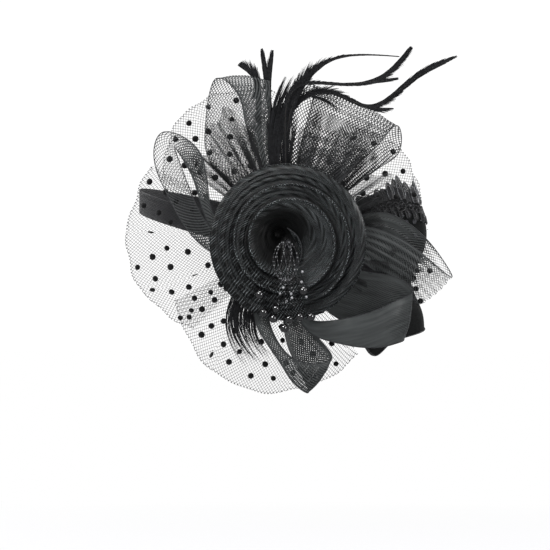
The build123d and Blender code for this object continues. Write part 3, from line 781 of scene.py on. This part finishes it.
def ribbon_loops():
    """The six loops round the flower, along the edge lines of their CAD solids. The back layer of the cheek
    loop alone hangs lower than its solid."""
    ribbon_loop(
        "left_loop_crin", "left_ribbon_loop", "loop_crin", light_loop_cloth,
        [(0, 2.8), (0.17, 2.7), (0.3, 1.0), (0.45, 0.8), (0.54, 1.2), (0.6, 2.8), (1, 3.2)],
        [
            (-26, -6, -9), (-45, -6, -8), (-64.6, -5, 7.7), (-78.7, -4, 32.6), (-86.4, -5.5, 58.9),
            (-80, -9, 71), (-64.6, -14, 65.9), (-53.8, -18, 51.2), (-50.6, -18, 26.9), (-40, -12, 8),
            (-25, -9.5, 1),
        ],
        [
            (-24.8, -6, -1), (-43, -6, 4), (-57, -5, 20), (-64, -4, 36), (-70, -5.5, 52), (-73, -8, 61),
            (-69, -9, 55), (-62, -9.5, 43), (-56, -9.5, 25), (-44, -9.3, 2), (-25.4, -8.6, -5),
        ],
        seed=1,
    )
    ribbon_loop(
        "top_loop_crin", "top_ribbon_loop", "loop_crin", light_loop_cloth,
        [(0, 3.0), (0.12, 1.8), (0.25, 0.95), (0.45, 0.9), (0.52, 1.5), (0.6, 2.6), (1, 3.2)],
        [
            (-9, -6, 23.2), (-30, -6.4, 36), (-50, -6.6, 52), (-53, -6.6, 75), (-50, -6.8, 98),
            (-45.5, -8, 106), (-35, -10.5, 99), (-28, -11.4, 80), (-21, -10.6, 57), (-13, -9, 38),
            (-9.5, -8.6, 22.6),
        ],
        [
            (-3.5, -6, 24.6), (-14, -6.4, 40), (-16, -6.6, 58), (-15, -6.6, 80), (-13.5, -6.9, 97),
            (-12.5, -8.4, 104), (-11.5, -10.4, 96), (-12, -11.4, 77), (-12, -10.6, 57), (-7, -9, 40),
            (-4, -8.6, 24.3),
        ],
        seed=2,
    )
    ribbon_loop(
        "crown_loop_sheer", "crown_ribbon_loop", "sheer_ribbon", sheer_cloth,
        [(0, 4.0), (0.15, 2.6), (0.3, 1.3), (0.5, 1.0), (0.65, 1.5), (0.85, 2.8), (1, 4.0)],
        [
            (7, -6, 23.6), (1.5, -6, 46), (2.5, -5.5, 70), (6, -5.2, 92), (16, -7.4, 101.8),
            (14, -10.6, 84), (8, -11, 62), (5, -9.6, 42), (6.6, -8.6, 23.7),
        ],
        [
            (17, -6, 18), (40, -6, 34), (62, -4.5, 50), (73, -3.5, 62), (71, -6, 75),
            (60, -11, 65), (47, -12.5, 52), (32, -10.6, 37), (16.6, -8.6, 18.4),
        ],
        crown=2.5, crumple=1.6, seed=3,
    )
    ribbon_loop(
        "brow_loop_pleated", "brow_ribbon_loop", "loop_crin", loop_cloth,
        [(0, 3.8), (0.27, 3.6), (0.38, 1.6), (0.45, 0.5), (0.55, 0.6), (0.68, 2.6), (1, 3.8)],
        [
            (24, -6, 7), (48, -4, 17.5), (67, 0, 18), (86, 4, 6), (101, 6, -12), (106.5, 5, -22),
            (96, 1, -15), (75, -4, 1), (50, -8, 10), (24.2, -8.6, 5),
        ],
        [
            (24.8, -6, -3), (46, -4, -8), (62, 0, -14), (72, 3, -25), (79, 5, -35), (85, 4, -41),
            (76, 1, -31), (61, -1, -22), (47, -6, -12), (24.6, -8.6, -4),
        ],
        crown=1.2, pleats=6, seed=4,
        dots=[(0.45, 0.34), (0.415, 0.56), (0.42, 0.72), (0.455, 0.82), (0.5, 0.92)],
    )
    ribbon_loop(
        "cheek_loop_crin", "cheek_ribbon_loop", "loop_crin", loop_cloth,
        [(0, 4.4), (0.3, 3.0), (0.46, 3.6), (0.55, 4.6), (1, 4.8)],
        [
            (22.4, -5.2, -11), (45, -5, -18), (64, -4.4, -21), (76, -4, -26), (80, -6, -32),
            (73, -11, -36), (61.4, -15, -41.6), (47, -16.6, -46.6), (31, -16, -50), (15, -12.6, -50),
            (5, -8.6, -25),
        ],
        [
            (9, -5.2, -24.5), (29, -5, -47), (50, -4.4, -56), (67, -4, -60), (74.6, -5, -62.5),
            (70, -9.4, -65), (60, -13, -67.4), (46, -15, -67.4), (30, -14, -64.4), (14.6, -11, -58.6),
            (-1.6, -8.6, -25),
        ],
        crown=2.0, seed=5,
    )
    ribbon_loop(
        "jaw_loop_crin", "jaw_ribbon_loop", "loop_crin", loop_cloth,
        [(0, 4.0), (0.2, 3.4), (0.42, 2.6), (0.52, 2.3), (0.6, 3.0), (0.8, 3.6), (1, 4.2)],
        [
            (3.6, -6, -24.6), (9.6, -6, -42), (18, -6.2, -60), (27.5, -7, -76),
            (16, -10.4, -78), (4, -13, -75), (-8, -13, -61), (-13, -11, -44), (-9, -8.8, -23.6),
        ],
        [
            (-3.6, -6, -24.6), (-3, -6, -46), (2, -6.2, -72), (12.8, -7, -97),
            (4, -10.4, -91), (-3.6, -13, -80), (-15, -13, -63), (-22, -11, -46), (-16, -8.8, -19.4),
        ],
        seed=6,
    )


# --- dotted net ---------------------------------------------------------------------

# A fan of net or crushed ribbon is cut as a fan too: its root edge is as long as the arc it is sewn along.
NET_ROOT = 25.0
CRUSHED_ROOT = 24.5


def fan_rim(turned, reach, peak, dip, seed):
    """How far a fan reaches at each part of its width: rounded, with an uneven edge."""
    rim = reach * (1 - dip * ((turned - peak) / max(peak, 1 - peak)) ** 2)
    uneven = 0.5 * np.sin(9 * turned + seed) + 0.3 * np.sin(23 * turned + 2 * seed)
    uneven = uneven + 0.2 * np.sin(41 * turned + seed)
    return rim * (1 - 0.022 + 0.022 * uneven)


def net_fan(name, node, start, end, reach, depth, folds, peak=0.5, dip=0.14, seed=1):
    """A gathered fan of dotted net that doubles back on itself in soft folds, and its flocked dots."""
    arc = radians(end - start)

    def surface(across, out):
        """Points of the net, from side to side and from its root to its rim."""
        phase = 2 * pi * folds * across + seed
        swing = 0.11 / folds * np.sin(phase) + 0.03 / folds * np.sin(2 * phase)
        turned = across + swing * (1.1 - 0.3 * out) * 2
        bearing = radians(start) + arc * turned
        r = NET_ROOT + (fan_rim(turned, reach, peak, dip, seed) - NET_ROOT) * out
        small = 0.7 * np.sin(2 * pi * folds * 4.5 * across + 3 * out) * (0.35 + 0.65 * (1 - out))
        y = -3.6 + depth * out**1.6 + 2.4 * out * np.cos(phase) + small * smooth_step(out / 0.2)
        points = about_y(r, y, bearing)
        points[..., 1] += ruffle(points, 0.05, 1.4, seed) * smooth_step(out / 0.4)
        return points

    piece = Piece(name, "dotted_net", net_cloth, hem_cloth)
    parts = np.linspace(0, 1, 221)
    across, out = np.meshgrid(parts, np.linspace(0, 1, 41))
    points = surface(across, out)
    run = run_of(points[24])
    run = run - run[-1] / 2
    mid_reach = NET_ROOT + 0.6 * (reach - NET_ROOT)
    distance = np.linalg.norm(points[..., [0, 2]], axis=-1)
    uv = np.stack([run[None, :] * (0.35 + 0.65 * distance / mid_reach), distance - NET_ROOT], -1)
    raw_edge = 1 + 1.2 * smooth_step((out - 0.985) / 0.015)
    piece.grid(points, uv, cover=(1 + 2.2 * np.exp(-out * 5)) * raw_edge)
    made = piece.finish([node], weld=False)
    dots = Piece(name + "_dots", "dotted_net", flock)
    row_gap, dot_gap = 11.0, 16.0
    for k in range(1, 9):
        for i in range(-14, 15):
            v = (row_gap * (k - 0.4) + rng.normal(0, 1.3)) / (0.93 * (reach - NET_ROOT))
            u = dot_gap * (i + 0.5 * (k % 2)) + rng.normal(0, 2.0)
            u = u * mid_reach / (NET_ROOT + v * (reach - NET_ROOT))
            if not 0.05 < v < 0.95 or abs(u) > run[-1] - 2:
                continue
            u = float(np.interp(u, run, parts))
            p = surface(np.array([u, u + 0.004, u]), np.array([v, v, v + 0.01]))
            dots.pad(p[0], np.cross(p[1] - p[0], p[2] - p[0]), 2.0 * rng.uniform(0.86, 1.1), 0.28)
    spots = dots.finish()
    return made


def dotted_nets():
    """The four fans of net behind the loops."""
    net_fan("net_forehead", "dotted_net_forehead", 8, 61, 98, 15, 2, seed=1)
    net_fan("net_crown", "dotted_net_crown", 90, 150, 110, 12, 2, dip=0.12, seed=2)
    net_fan("net_back", "dotted_net_back", 150, 222, 108, 20, 3, peak=0.3, dip=0.20, seed=3)
    net_fan("net_cheek", "dotted_net_cheek", 210, 305, 100, 8, 3, seed=4)


def crumpled_fan(name, start, end, reach, y_root, y_rim, pleats, cover=1.0, seed=1):
    """Crinoline crushed into fine pleats round the flower, dark at its root and ragged at its rim."""
    arc = radians(end - start)
    across, out = np.meshgrid(np.linspace(0, 1, 25 * pleats + 1), np.linspace(0, 1, 26))
    bearing = radians(start) + arc * (across + 0.010 * np.sin(2 * pi * pleats * across + seed) * out)
    ragged = 1 + 0.07 * np.sin(13 * across + seed) + 0.05 * np.sin(31 * across)
    rim = reach * (0.86 + 0.14 * np.sin(pi * across)) * ragged
    r = CRUSHED_ROOT + (rim - CRUSHED_ROOT) * out
    y = y_root + (y_rim - y_root) * out + (0.6 + 1.3 * out) * np.sin(2 * pi * pleats * across)
    points = about_y(r, y, bearing)
    points[..., 1] += ruffle(points, 0.09, 1.6, seed) * out
    uv = np.stack([across * arc * reach * 1.6, r], -1)
    piece = Piece(name, "gathered_crin", crumpled_cloth)
    pleated = 0.75 + 0.25 * np.sin(2 * pi * pleats * across + 1)
    piece.grid(points, uv, cover=cover * (1.9 - 1.25 * out) * pleated)
    made = piece.finish(weld=False)
    return made


def crumpled_ends():
    """Crushed ends of the ribbons that stand up between the loops and the feathers."""
    crumpled_fan("crushed_ends_crown", 90, 144, 88, -7.0, -13, 11, 1.35, seed=1)
    crumpled_fan("crushed_ends_brow", 30, 84, 84, -7.0, -13, 11, 1.25, seed=2)
    crumpled_fan("crushed_ends_face", -34, 34, 66, -5.0, -4, 9, 1.2, seed=3)
    crumpled_fan("crushed_ends_jaw", 205, 292, 50, -5.0, -6, 9, 0.8, seed=4)
    crumpled_fan("crushed_ends_back", 142, 205, 44, -5.0, -6, 7, 1.1, seed=5)


# --- feathers -----------------------------------------------------------------------


def vane(piece, spine, half_widths, quill_width=0.45, angle=18, gap=0.28, rag=0.25, turn=0.6):
    """One feather: a tapered quill and its barbs, fine strips that leave at an angle and bend to the tip.
    Half widths are given at even steps along the spine."""
    line = spline(spine, 240)
    length = length_of(line)
    along = unit(np.gradient(line, axis=0))
    side = unit(np.cross(along, [0.0, -1.0, 0.0]))
    face = np.cross(side, along)
    part = np.linspace(0, 1, 240)
    piece.tube(line, np.interp(part, [0, 0.7, 1], [quill_width, quill_width * 0.5, 0.1]), 6, 1)
    count = int(length / gap)
    steps = np.linspace(0, 1, 6)
    bend = steps[:, None]
    for hand in (-1, 1):
        for i in range(count):
            at = (i + 0.8 * rng.random()) / count
            half = float(np.interp(at, np.linspace(0, 1, len(half_widths)), half_widths))
            k = min(int(at * 239), 238)
            lean = radians(angle * rng.uniform(0.8, 1.2))
            reach = half / sin(lean) * rng.uniform(1 - rag, 1 + rag * 0.5)
            reach = min(reach, 24, (1 - at) * length / cos(lean) + 1.2)
            out, up, lift = side[k] * hand, along[k], face[k] * rng.uniform(-1, 1) * turn
            middle = line[k] + (up * cos(lean) + out * sin(lean)) * reach * bend
            middle = middle - out * reach * 0.10 * bend**2 + lift * bend**2
            thick = (0.38 * (1 - 0.85 * steps))[:, None]
            edge = out * cos(lean) - up * sin(lean)
            piece.grid(np.stack([middle - edge * thick, middle + edge * thick], 1))


def strands(piece, spine, half_widths, count, spikes, width=0.34, shortest=0.75):
    """A bunch of soft hackle: long fine strands that gather into spikes at their tips."""
    line = spline(spine, 120)
    along = unit(np.gradient(line, axis=0))
    side = unit(np.cross(along, [0.0, -1.0, 0.0]))
    half = np.interp(np.linspace(0, 1, 120), np.linspace(0, 1, len(half_widths)), half_widths)
    spike_reach = rng.uniform(0.82, 1.0, spikes)
    for _ in range(count):
        start = rng.uniform(-1, 1)
        spike = int(min(spikes - 1, (start + 1) / 2 * spikes))
        tip = -1 + 2 * (spike + 0.5) / spikes + rng.normal(0, 0.10)
        end = spike_reach[spike] * rng.uniform(shortest, 1.0)
        s = np.linspace(rng.uniform(0, 0.25), end, 12)
        k = np.minimum((s * 119).astype(int), 119)
        place = start + (tip - start) * (s / end) ** 2
        depth = rng.normal(0, 0.5) + rng.normal(0, 1.0) * s**2
        middle = line[k] + side[k] * (half[k] * place)[:, None]
        middle = middle + np.array([0, 1.0, 0]) * depth[:, None]
        thick = (width * (1 - 0.9 * (s / end) ** 3))[:, None]
        piece.grid(np.stack([middle - side[k] * thick, middle + side[k] * thick], 1))


def feather_piece(name, nodes, *blades):
    """A feather object from vanes and strands, given as (maker, arguments, settings)."""
    piece = Piece(name, "feather_barbs", barbs, quill)
    for make, arguments, settings in blades:
        make(piece, *arguments, **settings)
    return piece.finish(nodes, weld=False)


def leaned(points, root_x, root_z, depth, lean=5.0, swing=0.0):
    """Spine points (x, z) stood at a depth in front of the felt, leaning forward as they rise."""
    rise, turn = sin(radians(lean)), sin(radians(swing))
    return [(x, depth - (z - root_z) * rise - (x - root_x) * turn, z) for x, z in points]


def feathers():
    """The plume, the three long cock feathers, the two biots and the two lower bunches. The lower bunches
    bend further back than their CAD solids."""
    curled = leaned([(-8.6, 23.6), (-17, 60), (-19, 92), (-21.5, 105), (-31, 114.5)], 0, 23.6, -4.6, 0)
    feather_piece(
        "feather_curled_biot", ["biot_curled"],
        (vane, (curled, [0.5, 0.8, 1.4, 2.2, 3.0, 3.6, 2.0]), dict(angle=16, gap=0.2, rag=0.15)),
    )
    left_prong = leaned([(-2.6, 24.8), (-8.5, 62), (-13, 98), (-16.8, 124)], 0, 24.8, -4.6, 0)
    right_prong = leaned([(-2.6, 24.8), (-8.0, 62), (-12, 98), (-10.0, 123)], 0, 24.8, -4.6, 0)
    feather_piece(
        "feather_forked_biot", ["biot_forked"],
        (vane, (left_prong, [0.5, 0.8, 1.2, 2.2, 2.8, 2.4, 0.3]), dict(angle=11, gap=0.2, rag=0.5)),
        (vane, (right_prong, [0.5, 0.8, 1.2, 2.2, 3.0, 2.6, 0.3]), dict(angle=11, gap=0.2, rag=0.5)),
    )
    plume = leaned([(-4.6, 24.6), (-8.4, 48), (-6.4, 78), (-1, 94), (9, 110)], 0, 24.6, -10.1)
    plume_back = leaned([(0, 24.6), (-1, 48), (1, 70), (5, 92)], 0, 24.6, -9.4)
    feather_piece(
        "feather_hackle_plume", ["hackle_plume"],
        (strands, (plume, [1.4, 2.6, 3.8, 5.0, 6.5, 8.5], 330, 7), dict(width=0.42)),
        (strands, (plume_back, [1.0, 2.5, 4.0, 4.0], 90, 9), dict(width=0.22)),
    )
    upper = [(-2.4, 24.8), (-2, 52), (5, 92), (27, 116), (50, 120), (71, 119)]
    upper = leaned(upper, -2.4, 24.8, -11.7, 5, -3)
    blade = [0.8, 1.8, 3.4, 4.8, 5.0, 3.2, 1.6, 1.0, 0.6, 0.3]
    feather_piece(
        "feather_cock_upper", ["coque_feather_upper"],
        (vane, (upper, blade), dict(angle=14, gap=0.18, rag=0.3)),
    )
    middle = [(-2.4, 24.8), (-1.5, 56), (6, 99), (34, 101), (58, 105), (78.5, 124)]
    middle = leaned(middle, -2.4, 24.8, -12.5, 5, 2)
    blade = [0.5, 1.2, 1.8, 2.4, 2.4, 1.6, 1.6, 2.6, 2.8, 1.2]
    spray = leaned([(42, 101.5), (56, 102.6), (69.5, 104.5)], -2.4, 24.8, -12.7, 5, 2)
    feather_piece(
        "feather_cock_middle", ["coque_feather_middle"],
        (vane, (middle, blade), dict(angle=14, gap=0.2, rag=0.35)),
        (vane, (spray, [0.8, 2.0, 1.6, 0.6]), dict(angle=10, gap=0.25, rag=0.4)),
    )
    lower = [(0.8, 25), (-1, 58), (6, 88), (24, 96), (52, 88), (78, 103), (108, 119.5)]
    lower = leaned(lower, 0.8, 25, -9.0, 5, -5)
    blade = [0.5, 1.0, 1.8, 3.0, 3.0, 2.2, 1.8, 2.6, 3.0, 2.4, 0.6]
    under = leaned([(40, 91), (54, 86.5), (67, 86)], 0.8, 25, -9.2, 5, -5)
    wisps = leaned([(12, 95), (26, 92), (37, 84)], 0.8, 25, -9.4, 5, -5)
    feather_piece(
        "feather_cock_lower", ["coque_feather_lower"],
        (vane, (lower, blade), dict(angle=14, gap=0.2, rag=0.35)),
        (vane, (under, [0.8, 2.0, 1.4, 0.5]), dict(angle=10, gap=0.25, rag=0.4)),
        (strands, (wisps, [1.0, 3.0, 4.0], 26, 6), dict(width=0.2)),
    )
    rear = leaned([(-15.6, -19.6), (-30, -36), (-33.5, -52), (-27, -68), (-15, -81)], 0, 0, -7.3, 0)
    feather_piece(
        "feather_lower_rear", ["hackle_lower_rear"],
        (strands, (rear, [2.5, 6.0, 7.0, 8.5, 10.0], 150, 11), dict(width=0.17, shortest=0.4)),
        (strands, (rear, [2.0, 4.0, 4.0, 3.0, 2.0], 55, 4), dict(width=0.24, shortest=0.55)),
    )
    front = leaned([(-7, -24), (-21, -41), (-23, -57), (-11, -77)], 0, 0, -7.3, 0)
    feather_piece(
        "feather_lower_front", ["hackle_lower_front"],
        (strands, (front, [2.5, 5.0, 6.0, 7.0], 190, 7), dict(width=0.2, shortest=0.3)),
        (strands, (front, [1.5, 2.6, 2.6, 2.0], 70, 3), dict(width=0.3, shortest=0.5)),
    )


# --- mask and band ------------------------------------------------------------------

HEAD_CENTRE = np.array([-12.0, 80.3, 0.0])
HEAD_LONG, HEAD_WIDE, HEAD_REAR = 101.0, 75.5, 89.0
HEAD_TURN = radians(20)
FORWARD = np.array([cos(HEAD_TURN), -sin(HEAD_TURN), 0])
LEFTWARD = np.array([sin(HEAD_TURN), cos(HEAD_TURN), 0])
SHELL = 1.2
BAND_WIDTH = 16.0


def mask_reach(t, z):
    """How far the mask stands forward of the head's centre, at t to the wearer's left and height z."""
    long_axis = HEAD_LONG - np.where(z > 0, 0.0048, 0.0006) * z * z
    nose = 8.5 - np.where(z > 0, 0.0035 * z * z, 0)
    eye_hollow = 11.0 * np.exp(-(((z + 25.0) / 17.0) ** 2)) * np.exp(-((t / 28.0) ** 2))
    across = np.sqrt(np.maximum(1 - (t / HEAD_WIDE) ** 2, 0))
    return long_axis * across + nose * np.exp(-((t / 13.0) ** 2)) - eye_hollow


def on_mask(t, z, lift=0.0):
    """Points on the mask's outer face, raised by a lift."""
    t, z = np.asarray(t, float), np.asarray(z, float)

    def inner(t, z):
        s = mask_reach(t, z)
        up = np.array([0, 0, 1.0])
        return HEAD_CENTRE + FORWARD * s[..., None] + LEFTWARD * t[..., None] + up * z[..., None]

    along = inner(t + 0.4, z) - inner(t - 0.4, z)
    upward = inner(t, z + 0.4) - inner(t, z - 0.4)
    normal = unit(np.cross(along, upward))
    return inner(t, z) + normal * (SHELL + lift)


def cord(piece, points, lift, *tube):
    """A cord along (t, z) points on the mask, with a tube's radius, sides and material."""
    piece.tube(on_mask(points[:, 0], points[:, 1], lift), *tube)


def mask_rim():
    """The outline of the mask as (t, z) points, all the way round: the wearer's left side is cut shorter."""
    top = spline([(0, 31), (9, 33), (18, 35.5), (28, 34), (43, 28), (55, 20), (63, 11), (69, 5)], 60)
    short_point = spline([(69, -23), (60, -37), (46, -50), (36, -56), (27, -54), (15, -54), (0, -57.6)], 70)
    long_point = [(69, -23), (60, -37), (46, -59), (36, -73.5), (27, -66.5), (15, -62), (0, -57.6)]
    long_point = spline(long_point, 70)
    right = np.concatenate([top, long_point])[::-1] * [-1, 1]
    return np.concatenate([top, short_point, right[1:]])


def eye_rim(side, grow=0.0):
    """The edge of an eye hole as (t, z) points."""
    a = np.linspace(0, 2 * pi, 73)
    half, rise = 22 + grow, 9.7 + grow
    u = half * np.cos(a)
    v = rise * np.sign(np.sin(a)) * np.abs(np.sin(a)) ** 1.25
    tilt = radians(side * 6)
    return np.stack([side * 32 + u * cos(tilt) - v * sin(tilt), -12 + u * sin(tilt) + v * cos(tilt)], -1)


def leaf(piece, t, z, length, width, heading, lift, stand=0.0, edge=1):
    """One embroidered leaf of open ground with a corded edge, its tip standing off the mask."""
    s = np.linspace(0, 1, 15)
    half = width / 2 * np.sin(pi * (0.08 + 0.92 * s**0.85)) ** 0.5
    bow = 0.08 * length * np.sin(pi * s)
    axis = np.array([sin(heading), cos(heading)])
    over = np.array([cos(heading), -sin(heading)])
    middle = np.array([t, z]) + np.outer(s * length, axis) + np.outer(bow, over)
    left, right = middle - np.outer(half, over), middle + np.outer(half, over)
    raised = lift + stand * s**2
    rows = []
    for w in np.linspace(0, 1, 5):
        p = left * (1 - w) + right * w
        rows.append(on_mask(p[:, 0], p[:, 1], (raised + 0.6 * sin(pi * w))[:, None]))
    piece.grid(np.array(rows).transpose(1, 0, 2), cover=1.5)
    ring = np.concatenate([left, right[::-1]])
    rim = np.concatenate([raised, raised[::-1]])
    cord(piece, ring, (rim + 0.2)[:, None], 0.36, 6, edge)
    cord(piece, middle[1:-3], (raised[1:-3] + 0.75)[:, None], 0.2, 5, 1)


def scroll(piece, t, z, size, hand, lift):
    """A curled tendril of cord on the mask."""
    a = np.linspace(0, 2.3 * pi, 40)
    r = size * (1 - a / (2.3 * pi) * 0.82)
    points = np.stack([t + hand * r * np.cos(a), z + r * np.sin(a)], -1)
    cord(piece, points, lift, 0.34, 6, 1)


def brow_edge(t):
    """The height of the mask's top edge."""
    return float(np.interp(abs(t), [0, 9, 18, 28, 43, 55, 60], [31, 33, 35.5, 34, 28, 20, 14]))


def mask_lace():
    """Embroidered leaves along the mask's brow, taller beside the nose, with scrolls and beads below."""
    piece = Piece("mask_lace_leaves", "lace", lace_ground, lace_cord, silver_thread, seed_glass)
    count = 25
    for i in range(count):
        t = -57 + 114 * i / (count - 1)
        peak = exp(-(((abs(t) - 14) / 9) ** 2))
        tall = 7.0 + 6.0 * peak + 1.5 * (i % 2)
        edge = 2 if t > -24 and i % 2 else 1
        heading = radians(0.5 * t + 4 * (i % 3 - 1))
        leaf(piece, t, brow_edge(t) - 6.5, tall, 6.2, heading, 0.5 + 0.5 * (i % 2), 2.4 * peak + 0.6, edge)
    for i in range(21):
        t = -52 + 104 * i / 20
        z = brow_edge(t) - 11
        scroll(piece, t, z, 2.6 + 0.8 * (i % 2), 1 if t > 0 else -1, 0.5)
        leaf(piece, t + 2.5, z - 8, 7, 3.4, radians(0.8 * t), 0.4)
    for i in range(150):
        t = rng.uniform(-54, 54)
        z = brow_edge(t) - rng.uniform(-1, 24)
        piece.ball(on_mask(t, z, 0.8), 0.3 + 0.16 * rng.random(), 8, 6, 3)
    return piece.finish(["mask_lace_trim"])


def mask_cords():
    """Corded edges of the mask and of its eye holes."""
    piece = Piece("mask_edge_cords", "lace", lace_cord)
    rim = mask_rim()
    rim = np.concatenate([rim, rim[:1]])
    for lift in (-1.2, -0.5, 0.2):
        cord(piece, rim, lift, 0.45, 7)
    for side in (-1, 1):
        for grow, lift in ((0.2, -0.8), (0.8, 0.2)):
            cord(piece, eye_rim(side, grow), lift, 0.4, 7)
    return piece.finish()


def mask_cheek_embroidery():
    """Scrolling stems and leaves on the lower half of the mask."""
    piece = Piece("mask_cheek_embroidery", "lace", lace_ground, lace_cord, silver_thread, seed_glass)
    for side in (-1, 1):
        stem = spline([(side * t, z) for t, z in ((62, -12), (54, -32), (40, -44), (26, -40), (12, -34))], 60)
        cord(piece, stem, 0.4, 0.4, 6, 1)
        for k in range(4, 52, 6):
            t, z = stem[k]
            for hand in (-1, 1):
                leaf(piece, t, z, 5.5, 2.6, radians(side * 60 * hand + 140 * (hand < 0)), 0.35)
        for k in range(8, 56, 12):
            scroll(piece, stem[k][0], stem[k][1] - 6, 2.6, side, 0.4)
            piece.ball(on_mask(stem[k][0] + 2, stem[k][1] + 3, 0.9), 0.7, 10, 7, 3)
    return piece.finish()


def band():
    """Ribbed elastic band round the back of the head, with its stitched ends."""
    inset, start, columns, ribs = 0.5 + 0.45 + 0.15, 57.0, 361, 15
    a = np.radians(np.linspace(start, 360 - start, columns))
    s = np.where(np.cos(a) > 0, HEAD_LONG - inset, HEAD_REAR) * np.cos(a)
    t = (HEAD_WIDE - inset) * np.sin(a)
    middle = HEAD_CENTRE + np.outer(s, FORWARD) + np.outer(t, LEFTWARD) + np.outer(7.6 - 0.25 * s, [0, 0, 1])
    run = run_of(middle)
    flat = unit(np.gradient(middle, axis=0) * [1, 1, 0])
    outward = np.cross(flat, [0, 0, 1])
    rows, uv = [], []
    cut = ribs * 8
    for face in (1, -1):
        for j in range(cut + 1):
            w = j / cut
            w = w if face > 0 else 1 - w
            rib = 0.32 + 0.16 * abs(sin(pi * ribs * w)) ** 0.7
            edge = smooth_step(min(w, 1 - w) / 0.03)
            rows.append(middle + outward * face * rib * edge + np.array([0, 0, BAND_WIDTH * (w - 0.5)]))
            uv.append(np.stack([np.full(columns, BAND_WIDTH * w), run], -1))
    piece = Piece("head_band_elastic", "elastic", elastic_cloth, hem_cloth)
    piece.grid(np.array(rows).transpose(1, 0, 2), np.array(uv).transpose(1, 0, 2))
    for k in (6, 12, columns - 13, columns - 7):
        for i in range(9):
            here = middle[k] + np.array([0, 0, (i - 4) * 1.7])
            path = [here + outward[k] * out + [0, 0, up] for out, up in ((0.3, -0.6), (0.75, 0), (0.3, 0.6))]
            piece.tube(path, 0.2, 5, 1)
    return piece.finish(["head_band"])


# --- camera, light and stage ----------------------------------------------------------


def aim(obj, target):
    """Turns a light or a camera to look at a point."""
    obj.rotation_euler = (Vector(target) - obj.location).to_track_quat("-Z", "Y").to_euler()


def camera():
    """A long lens level with the flower, from the wearer's right."""
    data = bpy.data.cameras.new("camera")
    distance, frame_width = 2.0, 0.352
    data.sensor_width = 36.0
    data.lens = data.sensor_width * distance / frame_width
    data.clip_end = 60
    obj = add_object("camera", data)
    target = Vector((-0.0083, -0.02, -0.0211))
    obj.location = target + Vector((0, -distance, 0))
    aim(obj, target)
    bpy.context.scene.camera = obj


def soft_light(name, place, size, power):
    """A square soft box that looks at the object."""
    data = bpy.data.lights.new(name, "AREA")
    data.shape = "SQUARE"
    data.size = size
    data.energy = power
    obj = add_object(name, data)
    obj.location = place
    aim(obj, (0, 0.03, 0))


def stage_object(name, mesh_points, faces, material):
    """A piece of the stage."""
    mesh = bpy.data.meshes.new(name)
    mesh.from_pydata(mesh_points, [], faces)
    mesh.materials.append(material)
    mesh.shade_smooth()
    obj = add_object(name, mesh)
    return obj


def studio():
    """Pale floor well below the object, a pale surround that gives no light, and soft boxes."""
    world = bpy.data.worlds.new("studio")
    world.use_nodes = True
    background = world.node_tree.nodes["Background"]
    background.inputs["Color"].default_value = (0.96, 0.97, 1.0, 1)
    background.inputs["Strength"].default_value = 0.20
    bpy.context.scene.world = world

    white = (1, 1, 1, 1)
    surround = Shader("surround", (0, 0, 0), emission_color=white, emission_strength=1.05)
    surround.set("Specular IOR Level", 0.0)
    sides, rings, radius = 48, 24, 12.0
    around = [2 * pi * j / sides for j in range(sides)]
    points, faces = [], []
    for i in range(rings + 1):
        out, height = radius * sin(pi * i / rings), radius * cos(pi * i / rings)
        points += [(out * cos(a), out * sin(a), height) for a in around]
    for i in range(rings):
        for j in range(sides):
            after = (j + 1) % sides
            faces.append((i * sides + j, i * sides + after, (i + 1) * sides + after, (i + 1) * sides + j))
    dome = stage_object("surround", points, faces, surround.material)
    for rays in ("diffuse", "glossy", "transmission", "shadow"):
        setattr(dome, "visible_" + rays, False)

    pale = (0.80, 0.80, 0.81)
    floor_paint = Shader("floor", pale, roughness=0.8, specular_ior_level=0.0, emission_color=white)
    far = floor_paint.node("ShaderNodeVectorMath", {0: floor_paint.place()}, operation="LENGTH")
    inputs = {"Value": far.outputs["Value"], "From Min": 0.5, "From Max": 1.3}
    blend = floor_paint.node("ShaderNodeMapRange", inputs, clamp=True)
    floor_paint.set("Emission Strength", blend.outputs[0])
    shade = floor_paint.ramp(blend.outputs[0], (0.0, pale), (1.0, (0.0, 0.0, 0.0)))
    floor_paint.set("Base Color", shade)
    height = -0.26
    rim = [(8 * cos(2 * pi * j / 64), 8 * sin(2 * pi * j / 64), height) for j in range(64)]
    floor = stage_object("floor", rim, [tuple(range(64))], floor_paint.material)
    floor.visible_glossy = False

    soft_light("key", (-1.0, -1.4, 1.3), 0.5, 24)
    soft_light("front_fill", (1.4, -1.5, 0.4), 0.4, 9)
    soft_light("top", (0.1, -0.1, 1.8), 1.0, 18)
    soft_light("back_left", (-1.3, 1.5, 0.9), 1.0, 20)
    soft_light("back_right", (1.6, 1.2, 0.8), 1.0, 20)
    scene = bpy.context.scene
    scene.view_settings.view_transform = "Standard"
    scene.cycles.transparent_max_bounces = 48


# --- CAD nodes that still show ---------------------------------------------------------

NODE_MATERIALS = {
    "clip_base_jaw": steel,
    "clip_lever_jaw": steel,
    "clip_hinge_pin": steel,
    "clip_spring": steel,
    "stamen_stem_bundle": stem_wire,
    "stamen_wires": stem_wire,
    "stamen_beads": jet,
    "stamen_seed_beads": seed_glass,
    "mask_shell": velvet,
    "mask_lining": satin,
    "mask_sequins": sequin,
    "mask_eye_beads": jet,
}


def dress_cad_nodes():
    """Gives the CAD nodes that stay their materials."""
    for name, material in NODE_MATERIALS.items():
        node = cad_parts[name]
        for place in node.material_slots:
            place.material = material


camera()
studio()
dress_cad_nodes()
felt_base()
gathered_ends()
backing_disc()
flower()
centre_roll()
mesh_pod()
bead_caps()
ribbon_loops()
dotted_nets()
crumpled_ends()
feathers()
mask_lace()
mask_cords()
mask_cheek_embroidery()
band()
